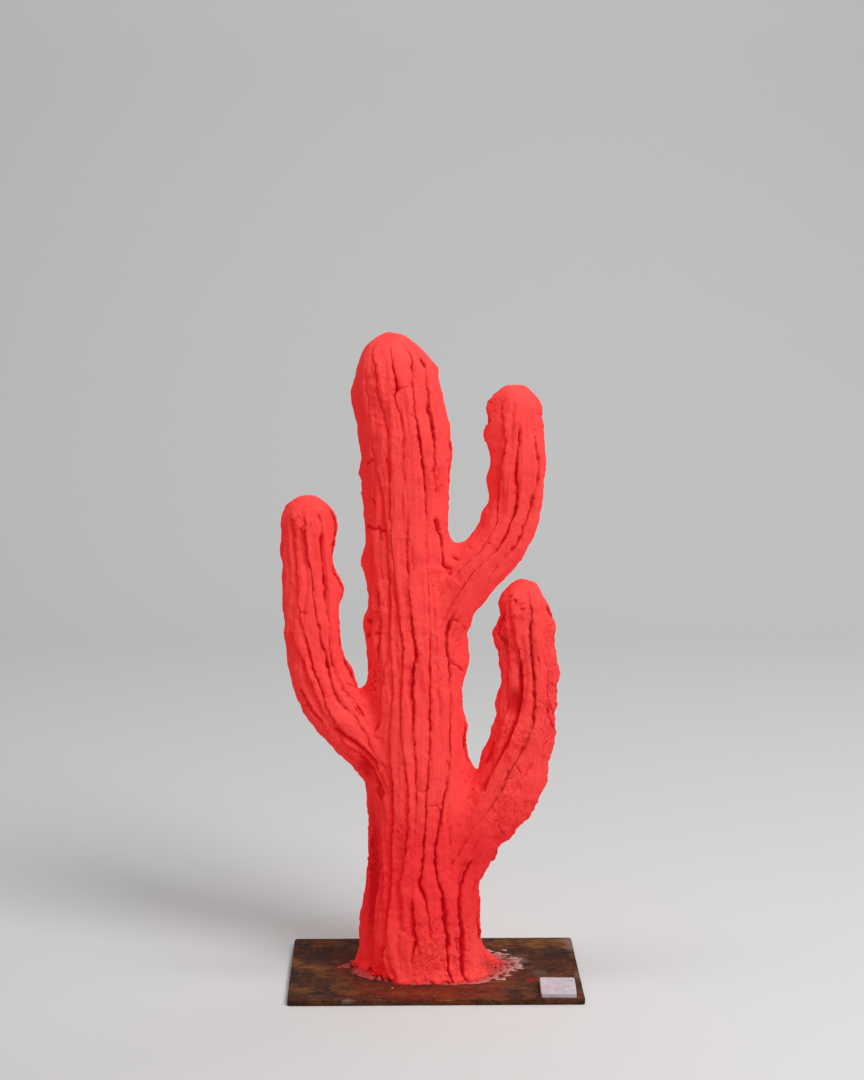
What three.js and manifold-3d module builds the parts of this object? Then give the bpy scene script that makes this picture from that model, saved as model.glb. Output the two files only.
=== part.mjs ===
// A hand-modelled saguaro with three upturned arms, in painted plaster, on a rusty steel base plate.
// The plaster is laid over a welded rod armature that stands on the plate, and a small plaster tile lies
// on the plate's front right corner.
// Millimetres, +Z up, the front faces -Y. The origin is the middle of the base plate's underside.

import * as THREE from "three";
import { mergeVertices } from "three/addons/utils/BufferGeometryUtils.js";
import Module from "manifold-3d";

const wasm = await Module();
wasm.setup();

// ---------------------------------------------------------------------------------------------------
// Driving dimensions
// ---------------------------------------------------------------------------------------------------

const PLATE = { width: 250, depth: 165, thickness: 5, cornerRadius: 3 };
const TILE = { width: 30, depth: 41, thickness: 4.5, x: 103.5, y: -60.5, turn: -1.5, cornerRadius: 2, bevel: 0.7 };
const FIT_GAP = 0.4; // between the rods and the plaster that was built up round them

// Ribs. A rib runs between two finger-drawn grooves, and each is drawn with four columns of points:
// where a column lies across the rib, and how deep it lies as a share of the groove's depth.
const RIB_COLUMNS = [
  [0, 1],
  [0.2, 0.2],
  [0.5, -0.25],
  [0.8, 0.2],
];
const TIP_RINGS = 5;
const DEPTH_OVER_WIDTH = 0.88; // every limb is a little flatter front to back than it is wide

// A station is [x, y, z, half width]: the middle of the limb there and half its width from the front.
// A groove is a list of [reach, degrees]: reach is the distance along the limb's middle line, which on the
// trunk is the height, and the angle is counted from the front towards the outside of a right-hand arm.
// A lump is [reach, degrees, height, spread], and a hollow has a negative height.

const TRUNK = {
  level: true, // its rings lie level, so its foot is flat on the plate
  firstReach: PLATE.thickness,
  rings: 34,
  grooveDepth: 3.2,
  stations: [
    [-7, 4, 5, 62],
    [-10, 4, 17, 56.5],
    [-13, 4, 40, 52.5],
    [-12, 4, 75, 49.3],
    [-12.5, 4, 112, 45.3],
    [-14, 3, 150, 42.7],
    [-15, 3, 188, 41],
    [-16.5, 3, 226, 40.5],
    [-18, 3, 264, 39.6],
    [-20, 3, 302, 38.8],
    [-22.5, 3, 340, 37],
    [-24.3, 3, 378, 36],
    [-24.8, 3, 414, 36],
    [-25, 3, 445, 37.8],
    [-26.2, 3, 475, 38.6],
    [-30.5, 3, 500, 38],
    [-34, 3, 520, 36.4],
  ],
  apex: [-37.5, 3, 557.5],
  grooves: [
    [[5, -36], [80, -32], [160, -35], [225, -33], [300, -28], [380, -30], [425, -35], [460, -46], [520, -40]],
    [[5, -18], [75, -20], [156, -12], [225, -20], [297, -11], [345, -19], [430, -21], [520, -23]],
    [[5, -4], [156, -2], [230, -3], [270, 6], [320, 0], [385, 3], [440, -2], [520, 1]],
    [[5, 12], [70, 5], [106, 4], [160, 11], [230, 18], [313, 25], [400, 30], [457, 24], [485, 18], [520, 27]],
    [[5, 19], [105, 11], [160, 24], [200, 31], [313, 34], [400, 40], [470, 41], [520, 47]],
    [[5, 28], [60, 30], [106, 19], [125, 22], [160, 37], [190, 43], [240, 52], [400, 54], [520, 68]],
    [[5, 48], [60, 52], [95, 54], [157, 70], [300, 77], [520, 90]],
    [[5, 80], [160, 96], [300, 102], [520, 116]],
    [[5, 115], [250, 128], [520, 145]],
    [[5, 148], [250, 157], [520, 172]],
    [[5, 181], [250, 187], [520, 199]],
    [[5, 214], [250, 216], [520, 226]],
    [[5, 244], [250, 246], [520, 252]],
    [[5, 274], [250, 275], [520, 278]],
    [[5, 303], [119, 304], [230, 303], [400, 300], [520, 300]],
  ],
  lumps: [
    [5, -38, -6, 16],
    [5, 2, -8, 24],
    [7, 95, 12, 10],
    [7, -88, 4, 9],
    [24, 92, -3, 12],
    [60, 150, 3, 22],
    [110, -150, 3, 26],
    [170, 175, -3, 20],
    [179, 92, 9, 13],
    [222, -95, 2.5, 14],
    [222, 90, 3, 13],
    [248, -92, 5, 9],
    [255, -140, 3, 22],
    [284, 92, 10, 24],
    [300, 145, -2.5, 20],
    [310, -90, 3.5, 10],
    [333, -90, -6, 13],
    [352, 170, 3.5, 20],
    [364, -88, 4.5, 8],
    [374, 92, 6, 11],
    [388, -86, -2.5, 9],
    [430, -150, 3, 18],
    [462, -90, -2.5, 12],
    [470, 130, 3, 22],
    [505, -95, 2, 10],
    [532, -88, -6, 20],
    [543, 72, -4, 17],
    [552, -170, 2.5, 16],
  ],
};

const LEFT_ARM = {
  firstReach: 0,
  rings: 22,
  grooveDepth: 2.4,
  stations: [
    [-30, -2, 131, 15.5],
    [-34, -3, 158, 20],
    [-42, -4, 184, 21.4],
    [-58, -4, 207, 22.4],
    [-76, -4, 226, 24.2],
    [-90.5, -2, 246, 25.4],
    [-99.5, 0, 269, 24.6],
    [-103.5, 1, 294, 23.6],
    [-105.5, 2, 319, 23.8],
    [-105.5, 4, 346, 23.6],
    [-107, 5, 374, 22.4],
    [-107.7, 6, 397, 22.7],
  ],
  apex: [-113.5, 6, 419.3],
  grooves: [
    [[0, -35], [130, -33], [168, -34], [205, -56], [290, -74]],
    [[0, -12], [60, -15], [112, -21], [150, -14], [200, -23], [245, -28], [290, -37]],
    [[0, 10], [75, 4], [115, 19], [172, 20], [215, 9], [255, -1], [290, -5]],
    [[0, 48], [290, 34]],
    [[0, 96], [290, 82]],
    [[0, 146], [290, 132]],
    [[0, 198], [290, 184]],
    [[0, 256], [150, 262], [290, 234]],
  ],
  lumps: [
    [96, 170, 2.5, 16],
    [146, 110, 2, 12],
    [190, -140, 2.5, 14],
    [231, 88, 6, 10],
    [240, -88, 2.5, 7],
    [260, 90, -4.5, 10],
    [262, 160, -2, 12],
    [264, -90, 3, 8],
    [283, 95, 2.5, 9],
    [300, -60, 2.5, 9],
  ],
};

const UPPER_RIGHT_ARM = {
  firstReach: 0,
  rings: 19,
  grooveDepth: 2.4,
  stations: [
    [-5, 2, 274, 13],
    [3, 0, 299, 19],
    [14, -2, 326, 24],
    [31, -3, 353, 25.6],
    [48.5, -3, 373, 24.2],
    [60.5, -4, 391, 22.9],
    [67, -4, 412, 22.6],
    [69, -5, 438, 23.8],
    [68.5, -6, 463, 24],
    [66.5, -6, 491, 22.8],
  ],
  apex: [69.5, -6, 515.8],
  grooves: [
    [[0, -50], [235, -84]],
    [[0, -16], [100, -16], [157, -36], [196, -23], [235, -48]],
    [[0, 8], [115, 9], [160, 3], [205, 6], [235, -3]],
    [[0, 38], [110, 38], [163, 54], [200, 45], [235, 40]],
    [[0, 86], [235, 88]],
    [[0, 136], [235, 137]],
    [[0, 188], [235, 184]],
    [[0, 246], [235, 231]],
  ],
  lumps: [
    [62, 92, -5, 14],
    [90, 92, -4, 12],
    [138, 175, 2.5, 12],
    [143, -95, 3.5, 10],
    [180, -92, 2.5, 9],
    [199, -90, -3, 8],
    [220, -88, 6, 8],
    [222, 120, 2, 12],
    [232, -90, -3.5, 6],
    [243, -88, 2.5, 6],
    [244, 70, 2.5, 9],
  ],
};

const LOWER_RIGHT_ARM = {
  firstReach: 0,
  rings: 22,
  grooveDepth: 2.6,
  stations: [
    [7, 0, 44, 13],
    [11, -2, 70, 18.5],
    [19, -4, 97, 23.2],
    [33, -5, 127, 27.5],
    [51, -6, 151.5, 28.6],
    [64, -7, 173, 28.2],
    [71.5, -8, 198, 26.8],
    [77, -9, 225, 25],
    [79, -10, 252, 24.2],
    [79, -11, 279, 24.2],
    [77, -12, 303, 24],
    [76, -12, 318, 22.2],
  ],
  apex: [73.5, -12, 352],
  grooves: [
    [[0, -62], [262, -50], [297, -64]],
    [[0, -38], [142, -38], [202, -13], [250, -13], [297, -36]],
    [[0, 0], [150, -5], [196, 22], [222, 20], [255, 10], [297, 21]],
    [[0, 36], [200, 54], [297, 56]],
    [[0, 88], [297, 100]],
    [[0, 138], [297, 148]],
    [[0, 190], [297, 198]],
    [[0, 244], [297, 248]],
  ],
  lumps: [
    [80, 85, 3.5, 6],
    [93, 95, -6, 11],
    [150, 60, 2, 12],
    [166, -92, 3, 14],
    [187, -92, 3, 9],
    [187, 88, 3, 8],
    [200, 150, 2.5, 14],
    [214, -92, 4, 9],
    [240, 90, 5, 9],
    [262, 92, -2, 8],
    [276, -92, 4, 7],
    [282, 88, 3.5, 8],
    [292, -95, -2, 7],
    [302, 85, -3, 9],
  ],
};

// The armature: a straight upright with a weld bead at its foot, and one bent rod for each arm, which is
// butted to the upright's side. A rod's bends are the points that its middle line passes through.
const UPRIGHT = { x: -20, y: 3, top: 505, radius: 6, beadRadius: 10, beadHeight: 4 };
const ROD_RADIUS = 4;
const ROD_STEPS = 16;
const ROD_SIDES = 8;
const BUTT = UPRIGHT.radius + FIT_GAP;
const RODS = {
  rod_left_arm: [
    [UPRIGHT.x - BUTT, 3, 176],
    [UPRIGHT.x - BUTT - 6, 3, 176],
    [-41, 1, 181],
    [-53, -3, 195],
    [-67, -4, 215],
    [-88, -2, 245],
    [-100, 1, 287],
    [-105, 3, 340],
    [-107, 5, 392],
  ],
  rod_upper_right_arm: [
    [UPRIGHT.x + BUTT, 3, 318],
    [UPRIGHT.x + BUTT + 6, 3, 318],
    [4, 0, 325],
    [18, -2, 340],
    [34, -3, 358],
    [56, -4, 388],
    [67, -5, 425],
    [69, -6, 488],
  ],
  rod_lower_right_arm: [
    [UPRIGHT.x + BUTT, 3, 104],
    [UPRIGHT.x + BUTT + 6, 3, 104],
    [6, 1, 109],
    [24, -3, 123],
    [45, -6, 145],
    [66, -7, 180],
    [77, -9, 228],
    [78, -11, 322],
  ],
};

const PAINTED_PLASTER = new THREE.MeshStandardMaterial({ color: "#f24a45", roughness: 0.9, metalness: 0 });
const RUSTY_STEEL = new THREE.MeshStandardMaterial({ color: "#4d3128", roughness: 0.75, metalness: 0.4 });
const ROD_STEEL = new THREE.MeshStandardMaterial({ color: "#6d6a66", roughness: 0.5, metalness: 0.9 });
const WHITE_PLASTER = new THREE.MeshStandardMaterial({ color: "#c9bcc2", roughness: 0.85, metalness: 0 });

// ---------------------------------------------------------------------------------------------------
// Helpers
// ---------------------------------------------------------------------------------------------------

// The value at a reach in a list of [reach, value], straight between its entries and level past its ends.
function valueAt(list, reach) {
  const next = list.findIndex(([entry]) => entry >= reach);
  if (next === -1) return list.at(-1)[1];
  if (next === 0) return list[0][1];
  const [[low, lowValue], [high, highValue]] = [list[next - 1], list[next]];
  return THREE.MathUtils.mapLinear(reach, low, high, lowValue, highValue);
}

// Degrees from one direction round to another, between -180 and 180.
function turnBetween(from, to) {
  return THREE.MathUtils.euclideanModulo(to - from + 180, 360) - 180;
}

function solidOf(geometry) {
  const bare = geometry.clone().deleteAttribute("normal").deleteAttribute("uv");
  const merged = mergeVertices(bare, 1e-4);
  return new wasm.Manifold(
    new wasm.Mesh({
      numProp: 3,
      vertProperties: merged.attributes.position.array,
      triVerts: new Uint32Array(merged.index.array),
    }),
  );
}

function geometryOf(solid) {
  const { numProp, vertProperties, triVerts } = solid.getMesh();
  const geometry = new THREE.BufferGeometry();
  geometry.setAttribute("position", new THREE.BufferAttribute(vertProperties, numProp));
  geometry.setIndex(new THREE.BufferAttribute(triVerts, 1));
  geometry.computeVertexNormals();
  return geometry;
}

function roundedRectangle(width, depth, radius) {
  const [x, y] = [width / 2 - radius, depth / 2 - radius];
  const outline = new THREE.Shape();
  outline.absarc(x, y, radius, 0, Math.PI / 2);
  outline.absarc(-x, y, radius, Math.PI / 2, Math.PI);
  outline.absarc(-x, -y, radius, Math.PI, Math.PI * 1.5);
  outline.absarc(x, -y, radius, Math.PI * 1.5, Math.PI * 2);
  return outline;
}

// ---------------------------------------------------------------------------------------------------
// The plaster
// ---------------------------------------------------------------------------------------------------

// One ring of points round a limb. Its radius follows the ribs and the lumps, its plane is square to the
// tangent, and its front is as near to -Y as that plane allows.
function ringPoints(limb, { centre, tangent, radius, reach, relief }) {
  const front = new THREE.Vector3(0, -1, 0).addScaledVector(tangent, tangent.y).normalize();
  const side = new THREE.Vector3().crossVectors(tangent, front);
  const grooveAngles = limb.grooves.map((groove) => valueAt(groove, reach));
  return grooveAngles.flatMap((angle, i) => {
    const next = i + 1 < grooveAngles.length ? grooveAngles[i + 1] : grooveAngles[0] + 360;
    return RIB_COLUMNS.map(([across, depth]) => {
      const degrees = THREE.MathUtils.lerp(angle, next, across);
      const turn = THREE.MathUtils.degToRad(degrees);
      const lumps = limb.lumps.map(([lumpReach, lumpAngle, height, spread]) => {
        const sideways = THREE.MathUtils.degToRad(turnBetween(lumpAngle, degrees)) * radius;
        return height * Math.exp(-((reach - lumpReach) ** 2 + sideways ** 2) / spread ** 2);
      });
      const lumpHeight = lumps.reduce((sum, height) => sum + height, 0);
      const out = radius + relief * (lumpHeight - depth * limb.grooveDepth);
      return centre
        .clone()
        .addScaledVector(side, out * Math.sin(turn))
        .addScaledVector(front, out * Math.cos(turn) * DEPTH_OVER_WIDTH);
    });
  });
}

// A whole limb as a closed solid: rings along a smooth curve through the stations, then rings that close
// in a round tip. The tip's centres run straight from the last station to the apex.
function limbSolid(limb) {
  const middle = new THREE.CatmullRomCurve3(limb.stations.map(([x, y, z]) => new THREE.Vector3(x, y, z)));
  const girth = new THREE.SplineCurve(limb.stations.map(([, , , half], i) => new THREE.Vector2(i, half)));
  const apex = new THREE.Vector3(...limb.apex);
  const rings = [];
  let reach = limb.firstReach;
  let centre = middle.getPoint(0);
  for (let i = 0; i <= limb.rings; i++) {
    const next = middle.getPoint(i / limb.rings);
    reach += next.distanceTo(centre);
    centre = next;
    const tangent = limb.level ? new THREE.Vector3(0, 0, 1) : middle.getTangent(i / limb.rings);
    const radius = girth.getPoint(i / limb.rings).y;
    rings.push({ centre, tangent, radius, reach, relief: 1 });
  }
  const shoulder = rings.at(-1);
  for (let i = 1; i <= TIP_RINGS; i++) {
    const rise = (i / (TIP_RINGS + 0.6)) * (Math.PI / 2);
    rings.push({
      centre: shoulder.centre.clone().lerp(apex, Math.sin(rise)),
      tangent: shoulder.tangent,
      radius: shoulder.radius * Math.cos(rise),
      reach: shoulder.reach + Math.sin(rise) * shoulder.centre.distanceTo(apex),
      relief: Math.cos(rise),
    });
  }

  const columns = limb.grooves.length * RIB_COLUMNS.length;
  const points = rings.flatMap((ring) => ringPoints(limb, ring));
  const root = points.push(rings[0].centre) - 1;
  const tip = points.push(apex) - 1;
  const faces = [];
  const last = (rings.length - 1) * columns;
  for (let column = 0; column < columns; column++) {
    const beside = (column + 1) % columns;
    faces.push(root, beside, column, last + column, last + beside, tip);
    for (let row = 0; row < last; row += columns) {
      const above = row + columns;
      faces.push(row + column, row + beside, above + beside);
      faces.push(row + column, above + beside, above + column);
    }
  }
  const geometry = new THREE.BufferGeometry().setFromPoints(points);
  geometry.setIndex(faces);
  return solidOf(geometry);
}

// ---------------------------------------------------------------------------------------------------
// The armature
// ---------------------------------------------------------------------------------------------------

function upright(clearance, sunk) {
  const radius = UPRIGHT.radius + clearance;
  const bead = UPRIGHT.beadRadius + clearance;
  const profile = [
    [0, -sunk],
    [bead, -sunk],
    [bead, clearance],
    [radius, UPRIGHT.beadHeight + clearance],
    [radius, UPRIGHT.top - PLATE.thickness + clearance],
    [0, UPRIGHT.top - PLATE.thickness + clearance],
  ];
  const geometry = new THREE.LatheGeometry(
    profile.map(([x, y]) => new THREE.Vector2(x, y)),
    16,
  );
  geometry.rotateX(Math.PI / 2);
  geometry.translate(UPRIGHT.x, UPRIGHT.y, PLATE.thickness);
  return geometry;
}

function rod(path, radius, steps) {
  const section = new THREE.Shape().absarc(0, 0, radius, 0, Math.PI * 2);
  return new THREE.ExtrudeGeometry(section, { extrudePath: path, steps, curveSegments: ROD_SIDES / 2 });
}

function bentRod(bends, radius) {
  const path = new THREE.CatmullRomCurve3(bends.map((bend) => new THREE.Vector3(...bend)));
  return rod(path, radius, ROD_STEPS);
}

// The room that a bent rod takes in the plaster: the rod grown by the gap, with a straight stub that
// opens it into the upright's room and another that clears its end.
function rodRoom(bends) {
  const radius = ROD_RADIUS + FIT_GAP;
  const first = new THREE.Vector3(...bends[0]);
  const last = new THREE.Vector3(...bends.at(-1));
  const rodEnd = last.clone().sub(new THREE.Vector3(...bends.at(-2))).setLength(FIT_GAP);
  const onUpright = new THREE.Vector3(UPRIGHT.x, UPRIGHT.y, first.z);
  const overlap = first.clone().sub(onUpright).setLength(ROD_RADIUS);
  const opening = new THREE.LineCurve3(onUpright, first.clone().add(overlap));
  const clearance = new THREE.LineCurve3(last.clone().sub(rodEnd), last.clone().add(rodEnd));
  return solidOf(bentRod(bends, radius))
    .add(solidOf(rod(opening, radius, 1)))
    .add(solidOf(rod(clearance, radius, 1)));
}

// ---------------------------------------------------------------------------------------------------
// Assembly
// ---------------------------------------------------------------------------------------------------

const sculpture = new THREE.Group();

function addPiece(name, geometry, material) {
  const mesh = new THREE.Mesh(geometry, material);
  mesh.name = name;
  sculpture.add(mesh);
  return mesh;
}

addPiece(
  "base_plate",
  new THREE.ExtrudeGeometry(roundedRectangle(PLATE.width, PLATE.depth, PLATE.cornerRadius), {
    depth: PLATE.thickness,
    bevelEnabled: false,
    curveSegments: 3,
  }),
  RUSTY_STEEL,
);

const arms = [LEFT_ARM, UPPER_RIGHT_ARM, LOWER_RIGHT_ARM];
const solidPlaster = arms.reduce((whole, arm) => whole.add(limbSolid(arm)), limbSolid(TRUNK));
const hollowPlaster = Object.values(RODS).reduce(
  (rest, bends) => rest.subtract(rodRoom(bends)),
  solidPlaster.subtract(solidOf(upright(FIT_GAP, 1))),
);
addPiece("cactus_body", geometryOf(hollowPlaster), PAINTED_PLASTER);

addPiece("armature_upright", upright(0, 0), ROD_STEEL);
for (const [name, bends] of Object.entries(RODS)) {
  addPiece(name, bentRod(bends, ROD_RADIUS), ROD_STEEL);
}

const tile = addPiece(
  "corner_tile",
  new THREE.ExtrudeGeometry(
    roundedRectangle(TILE.width - 2 * TILE.bevel, TILE.depth - 2 * TILE.bevel, TILE.cornerRadius - TILE.bevel),
    {
      depth: TILE.thickness - 2 * TILE.bevel,
      bevelThickness: TILE.bevel,
      bevelSize: TILE.bevel,
      bevelSegments: 1,
      curveSegments: 2,
    },
  ),
  WHITE_PLASTER,
);
tile.position.set(TILE.x, TILE.y, PLATE.thickness + TILE.bevel);
tile.rotation.z = THREE.MathUtils.degToRad(TILE.turn);

export default sculpture;
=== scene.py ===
"""A hand-modelled saguaro in painted plaster on a rusty steel plate, dressed over its CAD solids.

The frame is the CAD frame: the plate's underside is at z = 0, the front faces -Y. Shapes are worked out in
millimetres and scaled once, when a mesh is made.
"""

import functools
import itertools
import math

import bpy
import numpy as np
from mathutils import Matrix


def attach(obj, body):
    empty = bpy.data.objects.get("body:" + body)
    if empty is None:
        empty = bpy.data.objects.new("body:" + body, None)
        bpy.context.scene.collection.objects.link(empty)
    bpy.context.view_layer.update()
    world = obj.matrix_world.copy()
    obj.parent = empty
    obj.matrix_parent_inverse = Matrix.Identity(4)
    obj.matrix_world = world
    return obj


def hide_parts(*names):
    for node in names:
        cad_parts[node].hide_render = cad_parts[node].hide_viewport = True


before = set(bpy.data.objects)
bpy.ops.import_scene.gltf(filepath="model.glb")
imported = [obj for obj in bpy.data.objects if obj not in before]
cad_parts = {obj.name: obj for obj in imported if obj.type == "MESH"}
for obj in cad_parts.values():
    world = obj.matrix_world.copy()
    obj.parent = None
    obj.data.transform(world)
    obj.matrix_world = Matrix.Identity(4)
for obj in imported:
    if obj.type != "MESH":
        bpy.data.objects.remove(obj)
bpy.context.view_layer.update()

MM = 0.001
PLATE_TOP = 5.0
SEED = 7

# ---------------------------------------------------------------------------------------------------
# Camera and lights
# ---------------------------------------------------------------------------------------------------

CAMERA_AT = np.array((-34.2, -2011.7, 688.2))
CAMERA_DOWN = 8.65  # degrees below level
CAMERA_YAW = 0.91  # degrees towards +X
LENS = 80.0
FOCAL = 2400.0  # the lens in pixels of the 864 by 1080 frame
FRAME_MIDDLE = (432, 540)
SENSOR = 36.0  # its width, in millimetres as the lens


def add_camera():
    data = bpy.data.cameras.new("camera")
    data.lens = LENS
    data.sensor_width = SENSOR
    camera = bpy.data.objects.new("camera", data)
    camera.location = CAMERA_AT * MM
    camera.rotation_euler = (math.radians(90 - CAMERA_DOWN), 0, math.radians(-CAMERA_YAW))
    bpy.context.scene.collection.objects.link(camera)
    bpy.context.scene.camera = camera


def add_softbox(name, place, aim, width, height, power):
    """A rectangular soft light of so many watts: it stands at place and faces aim, both in metres."""
    data = bpy.data.lights.new(name, "AREA")
    data.shape = "RECTANGLE"
    data.size = width
    data.size_y = height
    data.energy = power
    light = bpy.data.objects.new(name, data)
    away = np.subtract(place, aim)
    away = away / np.linalg.norm(away)
    light.location = place
    light.rotation_euler = (math.acos(away[2]), 0, math.atan2(away[0], -away[1]))
    bpy.context.scene.collection.objects.link(light)


def camera_axes():
    """Unit vectors ahead of the camera, to its right and up."""
    down, yaw = math.radians(CAMERA_DOWN), math.radians(CAMERA_YAW)
    ahead = np.array([math.sin(yaw) * math.cos(down), math.cos(yaw) * math.cos(down), -math.sin(down)])
    right = np.array([math.cos(yaw), -math.sin(yaw), 0])
    return ahead, right, np.cross(right, ahead)


def sight_lines(spots):
    """The directions in which the camera sees places given across and down in the frame."""
    ahead, right, up = camera_axes()
    aside = (np.asarray(spots, float)[:, :2] - FRAME_MIDDLE) / FOCAL
    return ahead + aside[:, :1] * right - aside[:, 1:] * up


def seen_at(points):
    """Where the camera sees each point: across and down in the frame."""
    ahead, right, up = camera_axes()
    away = points - CAMERA_AT
    return FRAME_MIDDLE + FOCAL * np.stack([away @ right, -(away @ up)], axis=1) / (away @ ahead)[:, None]


add_camera()


# ---------------------------------------------------------------------------------------------------
# Mesh and material helpers
# ---------------------------------------------------------------------------------------------------


def add_mesh(name, points, faces):
    """A smooth-shaded mesh object from points in millimetres and rows of vertex numbers."""
    mesh = bpy.data.meshes.new(name)
    points = np.asarray(points, np.float32) * MM
    faces = np.asarray(faces, np.int32)
    mesh.vertices.add(len(points))
    mesh.vertices.foreach_set("co", points.ravel())
    mesh.loops.add(faces.size)
    mesh.loops.foreach_set("vertex_index", faces.ravel())
    mesh.polygons.add(len(faces))
    mesh.polygons.foreach_set("loop_start", np.arange(len(faces), dtype=np.int32) * faces.shape[1])
    mesh.polygons.foreach_set("use_smooth", np.full(len(faces), True))
    mesh.update(calc_edges=True)
    piece = bpy.data.objects.new(name, mesh)
    bpy.context.scene.collection.objects.link(piece)
    return piece


def settle(piece):
    """Replaces a piece's mesh by what its modifiers make of it, and drops the modifiers."""
    depsgraph = bpy.context.evaluated_depsgraph_get()
    made = bpy.data.meshes.new_from_object(piece.evaluated_get(depsgraph))
    piece.modifiers.clear()
    piece.data = made


def vertex_rows(mesh, key):
    """One row for each vertex: its place in metres, by the key co, or its normal, by the key normal."""
    rows = np.empty(len(mesh.vertices) * 3, np.float32)
    mesh.vertices.foreach_get(key, rows)
    return rows.reshape(-1, 3).astype(float)


def add_attribute(mesh, name, values):
    """Gives each vertex a value under a name, for a shader to read."""
    attribute = mesh.attributes.new(name, "FLOAT", "POINT")
    attribute.data.foreach_set("value", np.asarray(values, np.float32))


def linear(colour):
    """An sRGB hex colour as the linear red, green, blue and alpha that the shaders work in."""
    parts = [int(colour[i : i + 2], 16) / 255 for i in (1, 3, 5)]
    return [c / 12.92 if c <= 0.04045 else ((c + 0.055) / 1.055) ** 2.4 for c in parts] + [1.0]


# What a kind of node is set to where a call says nothing else: arithmetic multiplies, a mix is of colours,
# and a range is a smooth step from 0 to 1.
USUAL = {
    "Math": {"operation": "MULTIPLY"},
    "Mix": {"data_type": "RGBA"},
    "MapRange": {"interpolation_type": "SMOOTHSTEP"},
}


def add_node(tree, kind, *values, output=None, **named):
    """Adds a shader node and gives one of its outputs: the first in use, or the one asked for.

    The values fill the inputs in use, in their order, and may be outputs of other nodes. A name in small
    letters is a setting. One with a capital is an input, with _ for a space.
    """
    node = tree.nodes.new("ShaderNode" + kind)
    for key, value in {**USUAL.get(kind, {}), **named}.items():
        if key[0].islower():
            setattr(node, key, value)
    filled = list(zip([socket for socket in node.inputs if socket.enabled], values))
    filled += [(node.inputs[key.replace("_", " ")], named[key]) for key in named if key[0].isupper()]
    for socket, value in filled:
        if isinstance(value, bpy.types.NodeSocket):
            tree.links.new(value, socket)
        else:
            socket.default_value = value
    return node.outputs[output] if output else next((s for s in node.outputs if s.enabled), None)


def new_material(name):
    """A node material, what adds nodes to it, and its Object coordinates in metres."""
    material = bpy.data.materials.new(name)
    material.use_nodes = True
    material.node_tree.nodes.clear()
    add = functools.partial(add_node, material.node_tree)
    return material, add, add("TexCoord", output="Object")


# ---------------------------------------------------------------------------------------------------
# Smooth random relief
# ---------------------------------------------------------------------------------------------------


LATTICE = 32  # steps after which a random lattice repeats
LINE_STEPS = 64  # and a random line


def lattice_noise(points, size, seed):
    """Random values on a cubic lattice, size millimetres apart, faded smoothly between; -1 to 1."""
    table = np.random.default_rng(seed).uniform(-1, 1, (LATTICE,) * 3)
    at = points / size
    low = np.floor(at).astype(int)
    part = at - low
    part = part * part * (3 - 2 * part)
    total = 0.0
    for corner in itertools.product((0, 1), repeat=3):
        share = np.prod(np.where(corner, part, 1 - part), axis=1)
        index = (low + corner) % LATTICE
        total = total + share * table[index[:, 0], index[:, 1], index[:, 2]]
    return total


def wander(reach, size, seed):
    """A smooth random line along reach, with a new value every size millimetres; -1 to 1."""
    table = np.random.default_rng(seed).uniform(-1, 1, LINE_STEPS)
    low = np.floor(reach / size).astype(int)
    part = reach / size - low
    part = part * part * (3 - 2 * part)
    return (1 - part) * table[low % LINE_STEPS] + part * table[(low + 1) % LINE_STEPS]


# ---------------------------------------------------------------------------------------------------
# The plaster body
# ---------------------------------------------------------------------------------------------------

DEPTH_OVER_WIDTH = 0.88

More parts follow.
